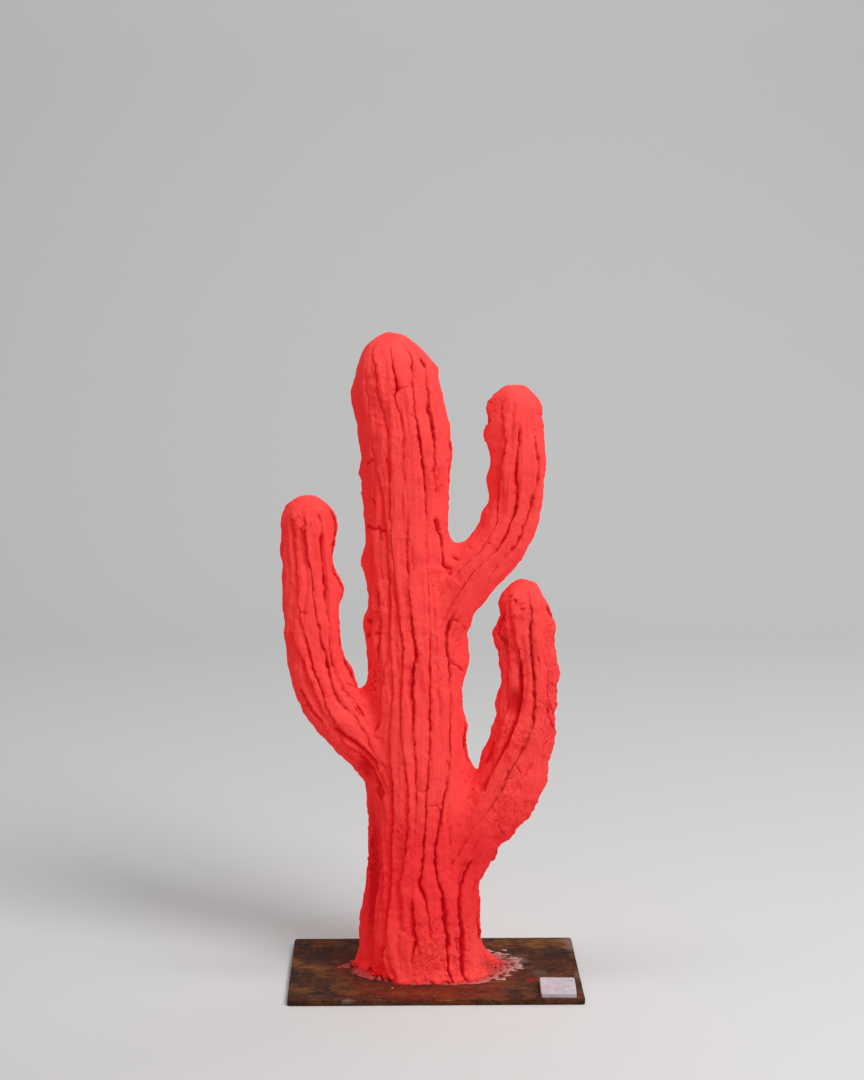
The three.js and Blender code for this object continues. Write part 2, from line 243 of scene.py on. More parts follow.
# A station is [x, y, z, half width]. A groove is a list of [reach, degrees]: reach runs along the limb's
# middle line (the height on the trunk), and the angle is counted from the front towards +X. A lump is
# [reach, degrees, height, spread], and a hollow has a negative height. Millimetres.
TRUNK = {
    "level": True,
    "first_reach": PLATE_TOP,
    "stations": [
        [-7, 4, 5, 62], [-10, 4, 17, 56.5], [-13, 4, 40, 52.5], [-12, 4, 75, 49.3], [-12.5, 4, 112, 45.3],
        [-14, 3, 150, 42.7], [-15, 3, 188, 41], [-16.5, 3, 226, 40.5], [-18, 3, 264, 39.6],
        [-20, 3, 302, 38.8], [-22.5, 3, 340, 37], [-24.3, 3, 378, 36], [-24.8, 3, 414, 36],
        [-25, 3, 445, 37.8], [-26.2, 3, 475, 38.6], [-30.5, 3, 500, 38], [-34, 3, 520, 36.4],
    ],
    "apex": [-37.5, 3, 557.5],
    "flats": [
        [-90, 52, 1.2], [-86, 16, 1.6], [86, 46, 2.6], [-28, 56, 3.2], [30, 42, 2.6], [-55, 30, 2.2],
        [0, 80, 0.8], [8, 20, 1.6], [150, 46, 3.5], [-140, 50, 3.5], [180, 24, 2.5],
    ],
    "grooves": [
        [[300, 84], [520, 90]], [[5, 80], [160, 96], [300, 102], [520, 116]],
        [[5, 115], [250, 128], [520, 145]], [[5, 148], [250, 157], [520, 172]],
        [[5, 181], [250, 187], [520, 199]], [[5, 214], [250, 216], [520, 226]],
        [[5, 244], [250, 246], [520, 252]], [[5, 274], [250, 275], [520, 278]],
        [[5, 303], [119, 304], [230, 303], [400, 300], [520, 300]],
    ],
    "lumps": [
        [5, -38, -6, 16], [5, 2, -8, 24], [7, 95, 4, 10], [7, -88, 4, 9], [24, 92, -3, 12],
        [60, 150, 3, 22], [110, -150, 3, 26], [179, 92, 9, 13], [170, 175, -3, 20], [222, -95, 2.5, 14],
        [222, 90, 3, 13], [248, -92, 5, 9], [284, 92, 10, 24], [297, 90, 3, 7], [255, -140, 3, 22],
        [300, 145, -2.5, 20], [310, -90, 3.5, 10], [333, -90, -6, 13], [352, 170, 3.5, 20],
        [364, -88, 4.5, 8], [374, 92, 6, 11], [388, -86, -2.5, 9], [430, -150, 3, 18],
        [462, -90, -2.5, 12], [470, 130, 3, 22], [505, -95, 2, 10], [532, -88, -6, 20], [524, 92, 2.5, 12],
        [552, -170, 2.5, 16],
    ],
}

LEFT_ARM = {
    "level": False,
    "first_reach": 0,
    "web": 9,
    "stations": [
        [-30, -2, 131, 15.5], [-34, -3, 158, 20], [-42, -4, 184, 21.4], [-58, -4, 207, 22.4],
        [-76, -4, 226, 24.2], [-90.5, -2, 246, 25.4], [-99.5, 0, 269, 24.6], [-103.5, 1, 294, 23.6],
        [-105.5, 2, 319, 23.8], [-105.5, 4, 346, 23.6], [-107, 5, 374, 22.4], [-107.7, 6, 397, 22.7],
    ],
    "apex": [-113.5, 6, 419.3],
    "flats": [
        [0, 82, 0.8], [-92, 58, 1.6], [86, 46, 2], [-12, 36, 2.4], [44, 28, 2], [-60, 24, 1.8],
        [170, 40, 3], [-150, 22, 2],
    ],
    "grooves": [
        [[0, -60], [120, -62], [205, -66], [290, -74]], [[0, 48], [290, 34]], [[0, 96], [290, 82]],
        [[0, 146], [290, 132]], [[0, 198], [290, 184]], [[0, 256], [150, 262], [290, 234]],
    ],
    "lumps": [
        [96, 170, 2.5, 16], [146, 110, 2, 12], [190, -140, 2.5, 14], [229, 88, 6, 9], [253, 90, -5, 11],
        [262, 160, -2, 12], [264, -90, 3, 8], [240, -88, 2.5, 7], [283, 95, 2.5, 9], [300, -60, 2.5, 9],
    ],
}

UPPER_RIGHT_ARM = {
    "level": False,
    "first_reach": 0,
    "web": 8,
    "stations": [
        [-5, 2, 274, 13], [3, 0, 299, 19], [14, -2, 326, 24], [31, -3, 353, 25.6], [48.5, -3, 373, 24.2],
        [60.5, -4, 391, 22.9], [67, -4, 412, 22.6], [69, -5, 438, 23.8], [68.5, -6, 463, 24],
        [66.5, -6, 491, 22.8],
    ],
    "apex": [69.5, -6, 515.8],
    "flats": [
        [90, 46, 2], [-90, 52, 1.8], [4, 60, 2.2], [-42, 26, 2.2], [46, 26, 1.8], [0, 84, 0.7],
        [178, 42, 3], [135, 24, 2],
    ],
    "grooves": [
        [[0, -50], [235, -84]], [[0, 86], [235, 88]], [[0, 136], [235, 137]], [[0, 188], [235, 184]],
        [[0, 246], [235, 231]],
    ],
    "lumps": [
        [62, 92, -4, 14], [90, 92, -4, 12], [138, 175, 2.5, 12], [143, -95, 3.5, 10], [180, -92, 2.5, 9],
        [199, -90, -3, 8], [220, -88, 5.5, 8.5], [232, -90, -3.5, 6], [243, -88, 2.5, 6],
        [222, 120, 2, 12], [244, 70, 2.5, 9],
    ],
}

LOWER_RIGHT_ARM = {
    "level": False,
    "first_reach": 0,
    "web": 9,
    "stations": [
        [7, 0, 44, 13], [11, -2, 70, 18.5], [19, -4, 97, 23.2], [33, -5, 127, 27.5], [51, -6, 151.5, 28.6],
        [64, -7, 173, 28.2], [71.5, -8, 198, 26.8], [77, -9, 225, 25], [79, -10, 252, 24.2],
        [79, -11, 279, 24.2], [77, -12, 303, 24], [76, -12, 318, 22.2],
    ],
    "apex": [73.5, -12, 352],
    "flats": [
        [90, 40, 2], [-88, 34, 1.8], [12, 56, 2.6], [-44, 26, 2.4], [58, 18, 2], [0, 82, 0.7],
        [178, 40, 3], [-140, 26, 2],
    ],
    "grooves": [
        [[0, -62], [262, -50], [297, -64]], [[0, 88], [297, 100]], [[0, 138], [297, 148]],
        [[0, 190], [297, 198]], [[0, 244], [297, 248]],
    ],
    "lumps": [
        [88, 98, 2, 4], [93, 95, -6, 11], [101, 98, 2.8, 4.5], [110, 95, -3, 8], [124, 95, 2.4, 5],
        [143, 95, -2, 4], [152, 95, 2, 5], [176, 92, 2.4, 4], [172, 92, -2.5, 8], [80, 85, 3.5, 6],
        [150, 60, 2, 12], [166, -92, 3, 14], [187, -92, 3, 9], [187, 88, 3, 8], [205, 92, -1.5, 6],
        [200, 150, 2.5, 14], [214, -92, 4, 9], [219, 90, 2.5, 6], [236, -92, -1.5, 8], [240, 90, 5, 9],
        [262, 92, -2, 8], [276, -92, 4, 7], [282, 88, 3.5, 8], [292, -95, -2, 7], [302, 85, -3, 9],
    ],
}

# Grooves traced on the front, as the camera sees them: [across, down, depth] in the 864 by 1080 frame. A
# depth of 1 is a usual groove, and 0 is where it runs out.
TRUNK["traced"] = [
    [
        [365, 372, 0.4], [367, 394, 0.5], [370, 429, 0.5], [372, 449, 0.8], [376, 464, 1.2],
        [380, 490, 1.3], [383, 508, 1.5], [385.5, 527, 1.6], [387, 548, 1], [387.5, 578, 1.2],
        [388.5, 610, 1.4], [389, 640, 1.2], [391, 665, 0.5], [392, 691, 0.9], [390, 741, 1.2],
        [391, 770, 1.6], [391, 821, 1.9], [389, 846, 2.1], [390, 882, 2.3], [388, 910, 2.2], [385, 940, 2],
        [381, 972, 1.6],
    ],
    [
        [373, 342, 1.1], [375, 366, 1.1], [378, 395, 0.9], [382, 412, 0.7], [388, 435, 0.8],
        [389.5, 452, 1.1], [389.5, 481, 1], [390, 528, 0.9], [391.5, 548, 1], [393.5, 572, 1.2],
        [395.5, 598, 1.2], [400, 626, 1.2], [403, 650, 1], [402, 675, 0.9], [400.5, 700, 1],
        [400.5, 735, 0.9], [404, 758, 0.9], [407.5, 790, 0.9], [408, 831, 0.9], [405, 855, 0.9],
        [403, 870, 1], [398.6, 889, 1.1], [401.7, 900, 0.8], [401, 925, 0.4], [400, 965, 0],
    ],
    [
        [390, 345, 0.6], [391.5, 358, 1.3], [395, 376, 1.7], [397.5, 387, 1.9], [395, 395, 1.4],
        [397, 404, 1], [400.5, 414, 1], [403, 445, 0.8], [403, 472, 0.5], [407, 500, 0.4], [409, 522, 0.9],
        [407.5, 555, 0.9], [409.3, 590, 1], [411, 616, 1.1], [414, 636, 1.2], [417, 655, 1.3],
        [413.5, 673, 1.7], [412.5, 690, 1.9], [413.5, 705, 1.6], [413.2, 724, 1.1], [415, 755, 1.1],
        [417, 785, 1.1], [416.5, 815, 0.6], [414, 850, 0.2], [409, 893, 0],
    ],
    [
        [405, 343, 0.8], [412, 354, 1.2], [413, 385, 1], [416, 415, 0.9], [420, 436, 1.4],
        [424.5, 469, 1.2], [427, 499, 1], [427, 520, 0.6], [428, 562, 0.4], [429.5, 600, 0.4],
        [431.5, 640, 0.8], [431, 689, 0.9], [431, 741, 1.1], [428.5, 775, 1], [426, 821, 1.1],
        [424, 850, 1.2], [422, 870, 1.5], [419.5, 885, 2], [424, 896, 1.6], [427.7, 906, 1],
        [430, 929, 0.6], [431, 950, 0],
    ],
    [
        [418, 352, 0.6], [425, 364, 1.2], [427.5, 390, 1.1], [429, 408, 1.1], [433.5, 430, 1.2],
        [436, 455, 1], [436.5, 476, 0.6], [435, 500, 0.3], [434, 560, 0.1], [436, 632, 0.5],
        [439, 682, 0.6], [441, 712, 0.7], [441, 748, 0.4], [440, 790, 0],
    ],
    [
        [437, 512, 0], [436.5, 519, 1.2], [439.5, 530, 1.6], [442.5, 540, 1.4], [442.8, 568, 1.5],
        [444.5, 600, 1.3], [446.5, 630, 1.2], [448.5, 654, 1.1], [450.5, 685, 0.7], [452, 715, 1],
        [450.5, 761, 1], [448, 785, 1.1], [442, 811, 1.2], [438.6, 836, 1.3], [435.2, 850, 1.7],
        [435.6, 860, 1.5], [439, 880, 1.2], [444, 893, 1.2], [447, 913, 1.2], [449, 944, 1.2],
        [449, 974, 1],
    ],
    [
        [465, 792, 0.3], [466, 821, 1.2], [465, 845, 1.7], [463.5, 862, 1.9], [462, 885, 1.5],
        [460.5, 903, 1.7], [462.5, 925, 1.5], [463.7, 950, 1.8], [463, 975, 1.4],
    ],
    [
        [412, 897, 0.2], [413, 912, 1.4], [414.5, 928, 1.5], [416.3, 942, 1.5], [413, 955, 0.7],
        [412, 968, 0],
    ],
    [
        [389, 645, 0.4], [385.5, 668, 0.8], [382.5, 688, 1], [379.5, 722, 1], [376, 760, 0.9],
        [375.5, 797, 1.5], [376, 836, 2.2], [376.5, 868, 2.6], [373, 900, 2.6], [368, 930, 2.2],
        [366, 962, 1.2],
    ],
    [
        [369, 820, 0.3], [366.5, 860, 1], [364, 905, 1.6], [361, 945, 1.7], [357, 968, 1],
    ],
    [
        [377, 742, 0.4], [379, 797, 0.8], [379.5, 836, 0.8], [382, 885, 0.9], [377, 915, 0.7],
        [374, 935, 0.3],
    ],
]
LEFT_ARM["traced"] = [
    [
        [291, 520, 0.6], [291.7, 541, 0.8], [294.5, 560, 0.9], [297.6, 580, 1.2], [297.3, 600, 0.6],
        [299.6, 616, 0.8], [304, 633, 1.2], [309, 652, 1.2], [314, 671, 1.3], [321, 688, 1.4],
        [332, 717, 1.1], [346, 736, 1.6], [360, 747, 1.9], [370, 757, 1.7], [380, 773, 1.2],
    ],
    [
        [290.6, 632, 0.9], [297, 648, 1.1], [302.5, 662, 1.1], [312, 684, 1.2], [317, 700, 1],
        [330, 722, 0.6], [345, 745, 1.2], [360, 757, 1.5], [374, 776, 1],
    ],
    [
        [304.7, 522, 0.7], [305, 541, 1], [308, 559, 1.1], [311, 572, 1.1], [313, 592, 1.1],
        [316, 610, 1.2], [319, 625, 1.1], [321, 639, 1.1], [327.5, 654, 1.3], [331, 674, 1.2],
        [334, 690, 1.2], [340.5, 702, 1.4], [350, 711, 1.3], [357, 718, 1], [364, 730, 1.2],
        [369, 741, 1.2], [374, 753, 0.8],
    ],
    [
        [322, 530, 0.5], [325, 552, 0.6], [328, 590, 0.8], [330, 630, 0.7], [333, 655, 0.5],
        [345, 690, 0.4], [357, 703, 1], [364, 714, 1], [372, 733, 0.5],
    ],
]
UPPER_RIGHT_ARM["traced"] = [
    [
        [501, 400, 0.7], [504, 420, 1], [505.5, 445, 1.2], [504, 458, 1.2], [501.5, 472, 1.6],
        [498.5, 490, 1.7], [497, 510, 1.4], [493, 530, 1], [486, 543, 1.1], [477, 555, 1], [462, 568, 1],
        [452, 580, 0.6],
    ],
    [
        [518, 412, 0], [519.5, 425, 0.4], [519.6, 437, 1.2], [517.5, 455, 1.1], [516, 475, 1.2],
        [518, 495, 1.1], [516, 510, 1.3], [511, 522, 1.4], [507, 535, 1.2], [502, 544, 1.1],
        [490, 557, 0.8], [472, 575, 1], [463, 588, 1], [455, 600, 0.5],
    ],
    [
        [535, 432, 0.6], [537, 450, 1.2], [539, 468, 1.1], [538.5, 482, 0.9], [534, 500, 1],
        [530, 515, 1.3], [524, 528, 1.2], [521, 538, 1.2], [515, 547, 1.2], [500, 562, 1], [487, 582, 1],
        [478, 592, 0.5],
    ],
]
LOWER_RIGHT_ARM["traced"] = [
    [
        [530, 598, 0.6], [532, 612, 1.2], [531, 635, 1.4], [532, 657, 1.7], [534.5, 675, 1.6],
        [536, 695, 1.5], [534, 722, 1.1], [527, 742, 0.7], [517, 760, 0.8], [508, 775, 1], [502, 790, 1.1],
        [494, 803, 0.9], [485, 815, 0.6],
    ],
    [
        [508, 605, 0.6], [513, 625, 0.9], [519, 655, 1.1], [521.5, 675, 1.6], [521, 700, 1.7],
        [517, 718, 1.5], [510, 738, 1.2], [503, 752, 1], [494, 766, 1.1], [485, 778, 1.4], [481, 790, 1.2],
        [476, 800, 0],
    ],
    [
        [546, 655, 0.5], [550.6, 678, 0.8], [549, 700, 1.1], [549.5, 716, 1.2], [553, 727, 1],
        [546, 745, 0.7], [532, 765, 0.6], [518, 785, 0.8], [506, 805, 0.6], [495, 822, 0.5],
    ],
]

LIMBS = [TRUNK, LEFT_ARM, UPPER_RIGHT_ARM, LOWER_RIGHT_ARM]
SAMPLES_PER_SPAN = 10
TIP_SAMPLES = 8
LIMB_ROOM = 60.0  # how far a limb's surface can lie from its middle line
BASE_STEP = 3.0  # spacing of the grid that the first skin is drawn on
BASE_LOW = np.array([-144.0, -75.0, -6.0])  # the grid's lowest corner, and how far it reaches from there
BASE_REACH = np.array([264.0, 150.0, 576.0])
FOOT_CUT = PLATE_TOP - 0.3
BODY_TRIANGLES = 195_000


def smooth_curve(knots, per_span):
    """A Catmull-Rom curve: through every knot, with its slope there set by the knots on either side."""
    knots = np.asarray(knots, float)
    padded = np.vstack([2 * knots[0] - knots[1], knots, 2 * knots[-1] - knots[-2]])
    a, b, c, d = (padded[i : len(padded) - 3 + i, None, :] for i in range(4))
    t = (np.arange(per_span) / per_span)[None, :, None]
    curve = b + 0.5 * t * (c - a + t * (2 * a - 5 * b + 4 * c - d + t * (3 * (b - c) + d - a)))
    return np.vstack([curve.reshape(-1, knots.shape[1]), knots[-1]])


def lay_out(limb):
    """Adds the limb's middle line in close samples: centre, radius, tangent, front and side by reach."""
    curve = smooth_curve(limb["stations"], SAMPLES_PER_SPAN)
    centre = curve[:, :3]
    apex = np.array(limb["apex"], float)
    rise = np.linspace(0, 1, TIP_SAMPLES + 1)[1:, None]
    centre = np.vstack([centre, centre[-1] + rise * (apex - centre[-1])])
    limb["centre"] = centre
    limb["radius"] = np.append(curve[:, 3], np.full(TIP_SAMPLES, curve[-1, 3]))
    steps = np.linalg.norm(np.diff(centre, axis=0), axis=1)
    if limb["level"]:
        limb["reach"] = centre[:, 2]
        tangent = np.tile([0.0, 0.0, 1.0], (len(centre), 1))
    else:
        limb["reach"] = np.append(0, np.cumsum(steps))
        tangent = np.gradient(centre, axis=0)
        tangent /= np.linalg.norm(tangent, axis=1, keepdims=True)
    front = np.array([0.0, -1.0, 0.0]) + tangent[:, 1:2] * tangent
    front /= np.linalg.norm(front, axis=1, keepdims=True)
    limb["tangent"] = tangent
    limb["front"] = front
    limb["side"] = np.cross(tangent, front)
    limb["shoulder"] = limb["reach"][-1 - TIP_SAMPLES]
    limb["tip"] = limb["reach"][-1] - limb["shoulder"]


def limb_coordinates(limb, points):
    """Each point's reach along the limb, angle round it, distance out from it and the limb's radius there.

    On a level limb the reach is the height. On an arm it is taken from the nearest sample of the middle
    line and the distance past it along the tangent.
    """
    if limb["level"]:
        reach = points[:, 2]
        centre = np.stack([np.interp(reach, limb["reach"], limb["centre"][:, i]) for i in range(2)], axis=1)
        across = points[:, 0] - centre[:, 0]
        ahead = centre[:, 1] - points[:, 1]
    else:
        samples = limb["centre"].astype(np.float32)
        nearness = points.astype(np.float32) @ samples.T - 0.5 * (samples**2).sum(axis=1)
        nearest = nearness.argmax(axis=1)
        offset = points - limb["centre"][nearest]
        along = (offset * limb["tangent"][nearest]).sum(axis=1)
        reach = limb["reach"][nearest] + along
        across = (offset * limb["side"][nearest]).sum(axis=1)
        ahead = (offset * limb["front"][nearest]).sum(axis=1)
    ahead = ahead / DEPTH_OVER_WIDTH
    radius = np.interp(reach, limb["reach"], limb["radius"])
    return reach, np.degrees(np.arctan2(across, ahead)), np.hypot(across, ahead), radius


def turn_between(angle, other):
    """Degrees from one direction round to another, -180 to 180."""
    return (other - angle + 180) % 360 - 180


def lump_height(limb, reach, angle, radius):
    """The sum of round swellings, each falling off as a bell curve of its spread."""
    height = np.zeros_like(reach)
    for at, degrees, top, spread in limb["lumps"]:
        sideways = np.radians(turn_between(angle, degrees)) * radius
        height += top * np.exp(-((reach - at) ** 2 + sideways**2) / spread**2)
    return height


def skin_distance(limb, reach, angle, out, radius):
    """Signed distance to the limb's smooth skin, near enough: negative inside, round over at the tip."""
    past = np.maximum(reach - limb["shoulder"], 0) / limb["tip"]
    before = np.maximum(limb["first_reach"] - reach, 0) / radius
    swell = lump_height(limb, reach, angle, radius)
    return (np.sqrt((out / radius) ** 2 + past**2 + before**2 * (not limb["level"])) - 1) * radius - swell


def limb_field(limb, points):
    return skin_distance(limb, *limb_coordinates(limb, points))


def near_limb(limb, points):
    """Which points lie in the box round the limb."""
    low = limb["centre"].min(axis=0) - LIMB_ROOM
    high = limb["centre"].max(axis=0) + LIMB_ROOM
    return np.all((points > low) & (points < high), axis=1)


def soft_minimum(first, second, width):
    """The lesser of two fields, drawn down where they are within width of each other."""
    near = np.maximum(width - np.abs(first - second), 0) / width
    return np.minimum(first, second) - near**2 * width / 4


def body_field(points):
    """The four limbs run together with webs between them, cut off level at the foot."""
    trunk = limb_field(TRUNK, points)
    whole = trunk.copy()
    for arm in LIMBS[1:]:
        close = near_limb(arm, points)
        webbed = soft_minimum(trunk[close], limb_field(arm, points[close]), arm["web"])
        whole[close] = np.minimum(whole[close], webbed)
    return np.maximum(whole, FOOT_CUT - points[:, 2])


def skin_of(field, low, step):
    """The zero surface of a field given on a grid, as quads that face outwards.

    Each grid cell that the surface passes through gets one point, the mean of where the surface crosses
    the cell's edges. Each grid edge that is crossed gets a quad between the four cells round it.
    """
    inside = field < 0
    whole = tuple(slice(0, n - 1) for n in field.shape)
    count = np.zeros([n - 1 for n in field.shape], int)
    for corner in itertools.product((0, 1), repeat=3):
        count += inside[tuple(slice(c, c + s.stop) for c, s in zip(corner, whole))]
    cells = np.argwhere((count > 0) & (count < 8))
    number = np.full(count.shape, -1)
    number[tuple(cells.T)] = np.arange(len(cells))

    total = np.zeros((len(cells), 3))
    hits = np.zeros(len(cells))
    unit = np.eye(3, dtype=int)
    for axis in range(3):
        for a, b in itertools.product((0, 1), repeat=2):
            start = cells + a * unit[(axis + 1) % 3] + b * unit[(axis + 2) % 3]
            first = field[tuple(start.T)]
            second = field[tuple((start + unit[axis]).T)]
            crossed = (first < 0) != (second < 0)
            part = np.divide(first, first - second, out=np.zeros_like(first), where=crossed)
            total += crossed[:, None] * (start + part[:, None] * unit[axis])
            hits += crossed
    points = low + step * total / hits[:, None]

    quads = []
    for axis in range(3):
        u, v = unit[(axis + 1) % 3], unit[(axis + 2) % 3]
        ends = [slice(None)] * 3
        ends[axis] = slice(0, -1)
        others = [slice(None)] * 3
        others[axis] = slice(1, None)
        edges = np.argwhere(inside[tuple(ends)] != inside[tuple(others)])
        round_edge = [number[tuple((edges - shift).T)] for shift in (0 * u, u, u + v, v)]
        quad = np.stack(round_edge, axis=1)
        leaving = inside[tuple(edges.T)]
        quads.append(np.where(leaving[:, None], quad, quad[:, ::-1]))
    return points, np.vstack(quads)


def smooth_skin():
    """The body's smooth skin, drawn on a coarse grid and then subdivided twice."""
    size = (BASE_REACH / BASE_STEP).astype(int)
    steps = [low + BASE_STEP * np.arange(count) for low, count in zip(BASE_LOW, size)]
    grid = np.stack(np.meshgrid(*steps, indexing="ij"), axis=-1).reshape(-1, 3)
    skin = add_mesh("plaster_saguaro", *skin_of(body_field(grid).reshape(size), BASE_LOW, BASE_STEP))
    finer = skin.modifiers.new("finer", "SUBSURF")
    finer.levels = finer.render_levels = 2
    settle(skin)
    return skin


SEARCH = np.linspace(-75, 20, 191)  # where along y a sight line is tried for the body's skin


def front_line(limb, traced):
    """A traced groove laid on the front of its limb: rows of reach, degrees and depth, by reach."""
    traced = np.array(traced, float)
    lines = sight_lines(traced)
    lines /= lines[:, 1:2]
    points = CAMERA_AT + (SEARCH[None, :, None] - CAMERA_AT[1]) * lines[:, None, :]
    field = limb_field(limb, points.reshape(-1, 3)).reshape(points.shape[:2])
    first = np.where((field < 0).any(axis=1), (field < 0).argmax(axis=1), field.argmin(axis=1))
    reach, angle, _, _ = limb_coordinates(limb, points[np.arange(len(points)), first])
    line = np.stack([reach, angle, traced[:, 2]], axis=1)
    return line[np.argsort(reach)]


PLAIN_DEPTH = 1.05  # depth of the grooves on the sides and back


def limb_lines(limb):
    """The limb's grooves as rows of reach, degrees and depth: the plain ones, then the traced."""
    plain = [np.array([[*place, PLAIN_DEPTH] for place in groove], float) for groove in limb["grooves"]]
    return plain, [front_line(limb, traced) for traced in limb["traced"]]


RUN_OUT = 12.0  # how far a groove goes on past its last row as it runs out
BED = 0.75  # half width of the bed of a usual groove


def groove_relief(lines, reach, angle, radius, ragged, seed, loose):
    """The depth of the grooves below the skin, how near the closest one is, how far aside, and how deep.

    Across a groove there is a narrow bed, wider where the groove is deeper, a wide round shoulder on both
    sides, and a step: the strip on one side stands higher than the other, as each was pressed over the
    last. ragged moves each point sideways by a little, so the lips of the grooves are torn. How far aside
    is counted in widths of the bed.
    """
    sunk = np.zeros_like(reach)
    near = np.zeros_like(reach)
    closest = np.full_like(reach, 9.0)
    drawn = np.zeros_like(reach)
    for number, line in enumerate(lines):
        degrees = np.interp(reach, line[:, 0], line[:, 1])
        depth = np.interp(reach, line[:, 0], line[:, 2])
        depth = depth * np.clip(1 - (reach - line[-1, 0]) / RUN_OUT, 0, 1)
        turn = seed + 17 * number
        aside = np.radians(turn_between(degrees, angle)) * radius
        aside = aside + ragged + 0.4 * wander(reach, 9.0, turn) + 0.35 * wander(reach, 3.5, turn + 1)
        uneven = 0.35 * wander(reach, 40.0, turn + 5) + 0.4 * wander(reach, 14.0, turn + 2)
        depth = depth * np.clip(1 + loose * uneven + 0.35 * wander(reach, 4.0, turn + 3), 0.1, 2)
        high = np.clip(0.9 + 0.7 * wander(reach, 38.0, turn + 4), 0.1, 1.35)
        off = np.abs(aside)
        wide = np.clip(0.45 + 0.55 * depth, 0.75, 1.8)
        bed = np.exp(-((off / wide / BED) ** 1.5))
        lip = np.tanh(aside / 0.45)
        shoulder = (0.72 - 0.28 * lip) * (0.75 * np.exp(-off / 2.2) + 0.35 * np.exp(-off / 8.0))
        step = lip * np.exp(-off / np.where(aside < 0, 8.0, 5.5))
        sunk += depth * (1.1 * bed + shoulder - high * step)
        # painted shade in and beside the groove, handed on as near
        dark = 0.75 * np.exp(-((off / wide / 0.85) ** 1.5)) + 0.2 * np.exp(-off / 2.4)
        near = np.maximum(near, depth * dark)
        nearer = off / wide < np.abs(closest)
        closest = np.where(nearer, aside / wide, closest)
        drawn = np.where(nearer, depth * np.clip(1.8 - off / 1.8, 0, 1), drawn)
    return sunk, np.clip(near, 0, 1.5), closest, drawn


def pit_depth(points, size, share, radius, seed):
    """Round pits strewn at random: 0 outside them and 1 at the bottom.

    Space is cut into cubes of the given size. A share of the cubes holds a pit at a random place in it, and
    each point looks for the pits of its own cube and of the 26 round it.
    """
    rng = np.random.default_rng(seed)
    cubes = (LATTICE,) * 3
    place = rng.uniform(0, 1, (*cubes, 3))
    wide = radius * rng.uniform(0.5, 1.0, cubes) * (rng.uniform(0, 1, cubes) < share)
    cube = np.floor(points / size).astype(int)
    deepest = np.zeros(len(points))
    for shift in itertools.product((-1, 0, 1), repeat=3):
        other = cube + shift
        index = tuple((other % LATTICE).T)
        far = np.linalg.norm(points - (other + place[index]) * size, axis=1)
        deepest = np.maximum(deepest, np.clip(1 - (far / np.maximum(wide[index], 1e-3)) ** 2, 0, 1))
    return deepest


